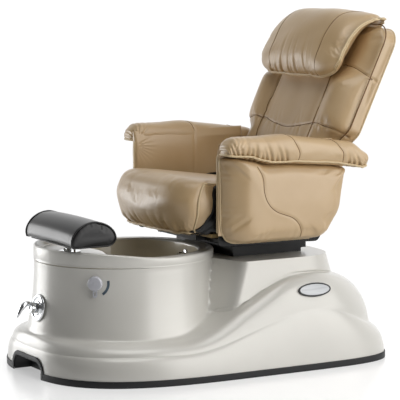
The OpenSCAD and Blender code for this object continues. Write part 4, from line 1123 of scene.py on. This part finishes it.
# ---------------------------------------------------------------- arms
panel_line = evenly(rounded([(0.700, 0.528, 0.066), (1.166, 0.526, 0.085), (1.243, 0.640, 0.150),
                             (1.274, 0.818, 0.012), (1.207, 0.834, 0.3), (0.995, 0.850, 0.2),
                             (0.870, 0.852, 0.12), (0.800, 0.8715, 0.09), (0.690, 0.880, 0.014)],
                            6), 460)
roll_line = evenly(rounded([(0.672, 0.890, 0.022), (0.800, 0.876, 0.09), (0.870, 0.8524, 0.12),
                            (0.995, 0.8504, 0.2), (1.207, 0.8344, 0.3), (1.350, 0.810, 0.020),
                            (1.380, 0.858, 0.024), (1.290, 0.922, 0.09), (0.960, 0.966, 0.3),
                            (0.694, 0.962, 0.052)], 8), 460)
ROLL_IN, ROLL_OUT = 0.3528, 0.4618


def roll_rings():
    """The soft top of an arm: for each u = -cos a across it, heights over the middle line are
    drawn in by (1-|u|^n)^(1/n), n 2.5 above and 5 below, and its two ends by n 3."""
    rings = []
    y, z = roll_line.T
    mid = np.interp(y, [0.68, 0.80, 0.90, 1.0, 1.2, 1.36],
                    [0.918, 0.912, 0.896, 0.892, 0.874, 0.846])
    axis = np.clip(y, 0.735, 1.315)
    for a in np.linspace(0.05, np.pi - 0.05, 60):
        side = -math.cos(a)
        above, below, end = ((1 - abs(side) ** n) ** (1 / n) for n in (2.5, 5, 3))
        drop = np.where(z > mid, above, below)
        rings.append(np.c_[np.full(len(y), mix(ROLL_IN, ROLL_OUT, (side + 1) / 2)),
                           axis + (y - axis) * end, mid + (z - mid) * drop])
    return np.array(rings)


spine = np.c_[np.clip(panel_line[:, 0], 0.83, 1.13), mix(panel_line[:, 1], 0.69, 0.96)]
stations = ([(0.3640, 0.005, s) for s in (0.96, 0.7, 0.4, 0.15)]
            + [(0.3636, 0.003, 0), (0.3665, 0.0002, 0)])
stations += [(x, 0, 0) for x in np.linspace(0.371, 0.404, 9)]
stations += [(0.404 + 0.034 * math.sin(a), 0.022 * (1 - math.cos(a)), 0)
             for a in np.linspace(0.12, 1.45, 11)]
stations += [(0.4385 + 0.009 * s**0.6, 0.022, s) for s in np.linspace(0.012, 0.97, 52)]
panel_rings = slab(panel_line, stations, spine)

s_seam = through([(0.447, 0.828, 0.846), (0.447, 0.848, 0.792), (0.447, 0.853, 0.733),
                  (0.447, 0.873, 0.688), (0.447, 0.914, 0.655), (0.447, 0.984, 0.629),
                  (0.447, 1.020, 0.599), (0.447, 1.036, 0.563), (0.440, 1.036, 0.534)], 110)
cross_front = through([(0.462, 1.012, 0.853), (0.466, 1.014, 0.895), (0.452, 0.995, 0.935),
                       (0.41, 0.975, 0.968), (0.365, 0.985, 0.945), (0.350, 0.995, 0.895)], 50)
cross_rear = through([(0.462, 1.228, 0.838), (0.466, 1.228, 0.881), (0.452, 1.210, 0.912),
                      (0.41, 1.190, 0.945), (0.365, 1.200, 0.922), (0.350, 1.21, 0.880)], 50)
fan_front = np.radians(np.r_[48, 60, 72, 84, 96, 108, 122, 138])
fan_far = rng.uniform(0.05, 0.10, len(fan_front))
hem_at = np.r_[0.712, 0.731, 0.752, 0.772, 0.796, 0.818, 0.843, 0.866, 0.892, 0.915, 0.942, 0.966,
               1.262, 1.291, 1.318, 1.340]
hem_reach = rng.uniform(0.030, 0.066, len(hem_at))
hem_lean = rng.uniform(-0.25, 0.25, len(hem_at)) + 0.25
fan_rear = np.radians(np.r_[100, 122, 140, 155, 168])


def fan(p, at, angles, reach, sharp, depth, skew):
    """Gathers that leave a point at the given angles in the side view: each is depth deep near the
    point and dies out with its reach, exp(-(angle off / sharp)^2 - (r / reach)^2)."""
    d = p[:, 1:] - at
    r = np.linalg.norm(d, axis=1)[:, None]
    angle = (np.arctan2(d[:, 1], d[:, 0]) + skew * (p[:, 0] - 0.41))[:, None]
    each = np.exp(-((angle - angles) / sharp) ** 2 - (r / reach) ** 2)
    return -depth * (each * np.clip(r / 0.03, 0, 1)).sum(1)


low_edge = np.array([(0.686, 0.8875), (0.740, 0.884), (0.799, 0.875), (0.856, 0.858),
                     (0.913, 0.848), (0.995, 0.851), (1.10, 0.845), (1.207, 0.8345), (1.299, 0.813),
                     (1.348, 0.806)])


def roll_relief(p):
    """Gathers of the arm's soft top, at its front and rear ends, and a slack middle."""
    gathers = fan(p, [0.700, 0.878], fan_front, fan_far, 0.06, 0.0052, 1.2)
    gathers += fan(p, [1.372, 0.815], fan_rear, 0.06, 0.07, 0.0034, 1.0)
    over = np.maximum(p[:, 2] - np.interp(p[:, 1], low_edge[:, 0], low_edge[:, 1]), 0)[:, None]
    pulls = np.exp(-((p[:, 1, None] + hem_lean * over - hem_at) / (0.0052 + 0.06 * over)) ** 2
                   - (over / hem_reach) ** 2)
    gathers -= 0.0110 * pulls.sum(1) * ramp(0.39, 0.42, p[:, 0])
    return gathers + 0.0012 * np.sin(p[:, 1] * 34 + 2 * np.sin(p[:, 2] * 40)) * np.sin(p[:, 2] * 60)


def panel_bow(p):
    """The panel's front edge runs back as it comes out: y + 0.075 ((x - 0.362) / 0.085)^2."""
    out = p.copy()
    share = np.clip((p[:, 0] - 0.362) / 0.085, 0, 1) ** 2
    out[:, 1] += 0.075 * share * (1 - ramp(0.68, 0.92, p[:, 1]))
    return out


def panel_relief(p):
    """Pulls beside the panel's front piping and along the foot."""
    from_front = p[:, 1] - 0.69
    pulls = 0.0007 * np.sin(p[:, 2] * 150 + 3 * np.sin(p[:, 2] * 47)) * bell(from_front, 0.05)
    foot = 0.0006 * np.sin(p[:, 1] * 120 + 3 * np.sin(p[:, 1] * 37)) * bell(p[:, 2] - 0.53, 0.04)
    return pulls + foot


roll_shape = swollen(closed_rings(roll_rings()), 0.006, 0.006)
bowed, panel_faces = closed_rings(panel_rings)
panel_shape = swollen((panel_bow(bowed), panel_faces), 0.007, 0.008, lambda p: p[:, 0] < 0.368)
points, faces = roll_shape
points = pushed(points, faces,
                roll_relief(points) + groove(points, [cross_front, cross_rear], 0.0035, 0.006))
roll_shape, roll_tree = (points, faces), surface_of(points, faces)
points, faces = panel_shape
points = pushed(points, faces, panel_relief(points) + groove(points, [s_seam], 0.0045, 0.0065))
panel_shape, panel_tree = (points, faces), surface_of(points, faces)

outer_run = np.c_[np.full(10, 0.4585), low_edge]
nose_run = np.array([(0.346, 0.712, 0.884), (0.356, 0.694, 0.887), (0.372, 0.684, 0.888),
                     (0.410, 0.677, 0.888), (0.444, 0.684, 0.888)])
hem_run = through(np.vstack([nose_run, outer_run[1:],
                             [(0.44, 1.366, 0.812), (0.40, 1.372, 0.815)]]), 260)
front_run = through([(0.364, 0.692, 0.878), (0.363, 0.690, 0.80), (0.363, 0.691, 0.70),
                     (0.363, 0.695, 0.62), (0.363, 0.706, 0.570), (0.364, 0.726, 0.542),
                     (0.366, 0.77, 0.5295), (0.368, 0.85, 0.527), (0.368, 1.00, 0.527),
                     (0.368, 1.12, 0.527)], 160)
inner_x = np.interp(np.linspace(0.56, 0.935, 40), [0.56, 0.745, 0.80, 0.87, 0.915, 0.935],
                    [0.3466, 0.3464, 0.3405, 0.3415, 0.3500, 0.3590])
fan_inner = np.radians(np.r_[-70, -55, -42, -30, -18, -6, 8, 22])


def inner_face():
    """The leather on an arm's inner side, between the seat and the soft top: a thin pad whose
    front skin stands off the plate by a few millimetres, fuller under the soft top."""
    z = np.linspace(0.56, 0.935, 100)
    x = np.interp(z, np.linspace(0.56, 0.935, 40), inner_x)
    for _ in range(60):
        x[1:-1] = (x[:-2] + 2 * x[1:-1] + x[2:]) / 4
    rear = np.interp(z, [0.56, 0.64, 0.80], [1.13, 1.19, 1.235])[:, None]
    yy = 0.688 + (rear - 0.688) * np.linspace(0, 1, 130)
    edge = np.minimum(np.minimum(yy - 0.688, rear - yy), z[:, None] - 0.56)
    proud = np.sqrt(np.clip(1 - (1 - np.clip(edge / 0.014, 0, 1)) ** 2, 0, 1))
    zz = np.broadcast_to(z[:, None], yy.shape)
    set_out = np.maximum(ramp(0.86, 0.91, zz), 1 - ramp(0.715, 0.74, yy))
    back_x = np.full(zz.shape, 0.3517) + 0.012 * set_out
    # It keeps clear of the back.
    bare = mix(x[:, None], np.maximum(x, 0.3478)[:, None], ramp(0.96, 1.08, yy))
    front_x = mix(back_x, bare, proud)
    front_x[[0, -1]] = back_x[[0, -1]]
    skins = [np.stack([q, yy, zz], -1) for q in (front_x, back_x)]
    points, faces = two_skins(*skins)
    d = points[:, 1:] - [0.690, 0.870]
    r = np.linalg.norm(d, axis=1)[:, None]
    angle = np.arctan2(d[:, 1], d[:, 0])[:, None]
    each = np.exp(-((angle - fan_inner) / 0.05) ** 2 - (r / 0.060) ** 2) * np.clip(r / 0.03, 0, 1)
    front = points[:, 0] < 0.3510
    points[:, 0] += front * np.minimum(0.0045 * each.sum(1), 0.3512 - points[:, 0])
    points[:, 0] += 0.0022 * bell(points[:, 1] - 0.985, 0.006) * front
    return points, faces


inner_shape = inner_face()
inner_run = through([(0.3530, 0.692, 0.884), (0.3525, 0.690, 0.870), (0.3525, 0.690, 0.80),
                     (0.3525, 0.690, 0.70), (0.3525, 0.690, 0.575)], 60)
for side, sign in SIDES.items():
    def to_side(shape, sign=sign):
        """The shape on this side of the chair."""
        return shape[0] * [sign, 1, 1], shape[1]
    body = f"arm_{side}"
    soft_top = piece(f"arm_roll_{side}", to_side(roll_shape), body, "leather", [f"arm_pad_{side}"])
    panel = piece(f"arm_side_{side}", to_side(panel_shape), body, "leather", [f"arm_panel_{side}"])
    lining = piece(f"arm_inner_{side}", to_side(inner_shape), body, "leather")
    hems = joined(welts(roll_tree, [hem_run], 0.0046, 0.0015, wave=0.0010),
                  welts(panel_tree, [front_run], 0.0046, 0.0025),
                  tube(inner_run, 0.0042, np.array([-1.0, 0, 0]), sides=CORD_SIDES))
    piece(f"arm_piping_{side}", to_side(hems), body, "leather", look=welt)
    # Dark cords in the arm's seams: painted shade of the grooves.
    seams = joined(welts(roll_tree, [cross_front, cross_rear], 0.0013, 0.0003),
                   welts(panel_tree, [s_seam], 0.0013, 0.0003))
    piece(f"arm_seam_shade_{side}", to_side(seams), body, "leather", look=seam_shade)

# ---------------------------------------------------------------- footrest
FOOT_Y, FOOT_Z, FOOT_HALF = 0.200, 0.5333, 0.212
foot_line = np.array([(-0.080, 0.0002), (0.00, 0.0002), (0.070, 0.0006), (0.094, 0.012),
                      (0.103, 0.034), (0.090, 0.062), (0.058, 0.086), (0.010, 0.099),
                      (-0.034, 0.092), (-0.070, 0.070), (-0.092, 0.038), (-0.094, 0.010)])
foot_line = through(foot_line + [FOOT_Y, FOOT_Z], 240, closed=True)
foot_line[:, 1] = np.maximum(foot_line[:, 1], FOOT_Z)
spine = np.c_[np.clip(foot_line[:, 0], 0.15, 0.26), np.full(240, FOOT_Z + 0.040)]
stations = [(-FOOT_HALF - 0.0015 * (1 - s**2), 0.004, 0.96 * s) for s in np.linspace(1, 0.04, 12)]
stations += [(-FOOT_HALF + 0.004 * (1 - math.cos(a)), 0.004 * (1 - math.sin(a)), 0)
             for a in (0, 0.8, 1.57)]
stations += [(x, 0, 0) for x in np.linspace(-FOOT_HALF + 0.008, FOOT_HALF - 0.008, 80)]
stations += [(-h, i, s) for h, i, s in stations[14::-1]]
foot_rings = slab(foot_line, stations, spine)
x = foot_rings[..., 0]
sag = 0.004 * (1 - (x / FOOT_HALF) ** 2)
foot_rings[..., 2] += sag * ramp(FOOT_Z + 0.01, FOOT_Z + 0.05, foot_rings[..., 2])
foot_shape = swollen(closed_rings(foot_rings), 0.005, 0.004, lambda p: p[:, 2] < FOOT_Z + 0.004)
foot_pad = piece("foot_pad", foot_shape, "footrest", "black_vinyl", ["footrest_pad"])
ends = []
for end in (-1, 1):
    ring = np.c_[np.full(240, end * (FOOT_HALF - 0.001)), foot_line]
    ends.append(tube(ring, 0.0032, np.array([1.0, 0, 0]), closed=True, sides=CORD_SIDES))
piece("foot_piping", joined(*ends), "footrest", "black_vinyl")

# ---------------------------------------------------------------- floor, lights and camera
floor_look = bpy.data.materials.new("studio floor")
floor_look.use_nodes = True
tree = floor_look.node_tree
ground = tree.nodes["Principled BSDF"]
ground.inputs["Roughness"].default_value = 0.22
ground.inputs["Base Color"].default_value = (0.70, 0.70, 0.70, 1)
seen = add(tree, "ShaderNodeLightPath")
either = add(tree, "ShaderNodeMath", {"operation": "MAXIMUM"},
             {0: (seen, "Is Glossy Ray"), 1: (seen, "Is Transmission Ray")})
any_of = add(tree, "ShaderNodeMath", {"operation": "MAXIMUM"},
             {0: (either, "Value"), 1: (seen, "Is Camera Ray")})
lift = add(tree, "ShaderNodeMath", {"operation": "MULTIPLY", 1: 0.42}, {0: (any_of, "Value")})
ground.inputs["Emission Color"].default_value = (1, 1, 1, 1)
tree.links.new(lift.outputs["Value"], ground.inputs["Emission Strength"])
mesh = bpy.data.meshes.new("floor")
mesh.from_pydata([(-150, -150, 0), (150, -150, 0), (150, 150, 0), (-150, 150, 0)], [],
                 [(0, 1, 2, 3)])
floor = placed("floor", mesh)
mesh.materials.append(floor_look)

world = bpy.data.worlds.new("studio")
bpy.context.scene.world = world
world.use_nodes = True
tree = world.node_tree
for node in list(tree.nodes):
    tree.nodes.remove(node)
sky_place = add(tree, "ShaderNodeTexCoord")
height = add(tree, "ShaderNodeSeparateXYZ", {}, {"Vector": (sky_place, "Generated")})
band_of_sky = add(tree, "ShaderNodeValToRGB", {}, {"Fac": (height, "Z")})
stops = band_of_sky.color_ramp
stops.elements[0].position, stops.elements[0].color = 0.0, (0.62, 0.62, 0.63, 1)
stops.elements[1].position, stops.elements[1].color = 1.0, (0.38, 0.38, 0.38, 1)
middle_stop = stops.elements.new(0.35)
middle_stop.color = (0.55, 0.55, 0.56, 1)
# The room is bright behind the chair and dark behind the camera, so glossy walls show a dark band.
toward = add(tree, "ShaderNodeVectorMath", {"operation": "DOT_PRODUCT", 1: (-0.62, 0.78, 0.0)},
             {0: (sky_place, "Generated")})
room = add(tree, "ShaderNodeMapRange",
           {"From Min": -0.15, "From Max": 0.80, "To Min": 0.10, "To Max": 1.15},
           {"Value": (toward, "Value")})
shaded = add(tree, "ShaderNodeMath", {"operation": "MULTIPLY", 1: 1.05}, {0: (room, "Result")})
soft = add(tree, "ShaderNodeBackground", {},
           {"Color": (band_of_sky, "Color"), "Strength": (shaded, "Value")})
white = add(tree, "ShaderNodeBackground", {"Strength": 1.0, "Color": (1, 1, 1, 1)})
# Gloss and glass see the white backdrop too, and the unlit room where no backdrop stands.
backdrop = add(tree, "ShaderNodeBackground", {"Color": (1, 1, 1, 1)},
               {"Strength": (room, "Result")})
ray = add(tree, "ShaderNodeLightPath")
mirrored = add(tree, "ShaderNodeMath", {"operation": "MAXIMUM"},
               {0: (ray, "Is Glossy Ray"), 1: (ray, "Is Transmission Ray")})
lit = add(tree, "ShaderNodeMixShader", {}, {0: (mirrored, "Value"), 1: (soft, "Background"),
                                            2: (backdrop, "Background")})
either = add(tree, "ShaderNodeMixShader", {}, {0: (ray, "Is Camera Ray"), 1: (lit, "Shader"),
                                               2: (white, "Background")})
add(tree, "ShaderNodeOutputWorld", {}, {"Surface": (either, "Shader")})


def lamp(name, place, target, size, watts, colour=(1, 1, 1)):
    """A square soft box at a place, facing a target."""
    data = bpy.data.lights.new(name, "AREA")
    data.shape, data.size, data.energy, data.color = "SQUARE", size, watts, colour
    obj = placed(name, data)
    obj.location = place
    way = Vector(target) - Vector(place)
    obj.rotation_euler = way.to_track_quat("-Z", "Y").to_euler()
    return obj


lamp("key", (4.6, 2.5, 2.4), (0, 0, 0.7), 5.0, 200, (1, 0.99, 0.98))
lamp("left", (-2.8, -2.2, 0.6), (0, 0, 0.5), 2.0, 56)
lamp("overhead", (1.4, -0.6, 4.4), (0, 0, 0.6), 2.6, 52)

TILT, TURN = math.radians(6.843), math.radians(60)
data = bpy.data.cameras.new("camera")
data.sensor_width, data.lens = 36, 180
camera = placed("camera", data)
camera.location = (7.245, -4.170, 1.667)
ahead = Vector((-math.sin(TURN) * math.cos(TILT), math.cos(TURN) * math.cos(TILT), -math.sin(TILT)))
camera.rotation_euler = ahead.to_track_quat("-Z", "Y").to_euler()
bpy.context.scene.camera = camera
bpy.context.scene.view_settings.view_transform = "Standard"
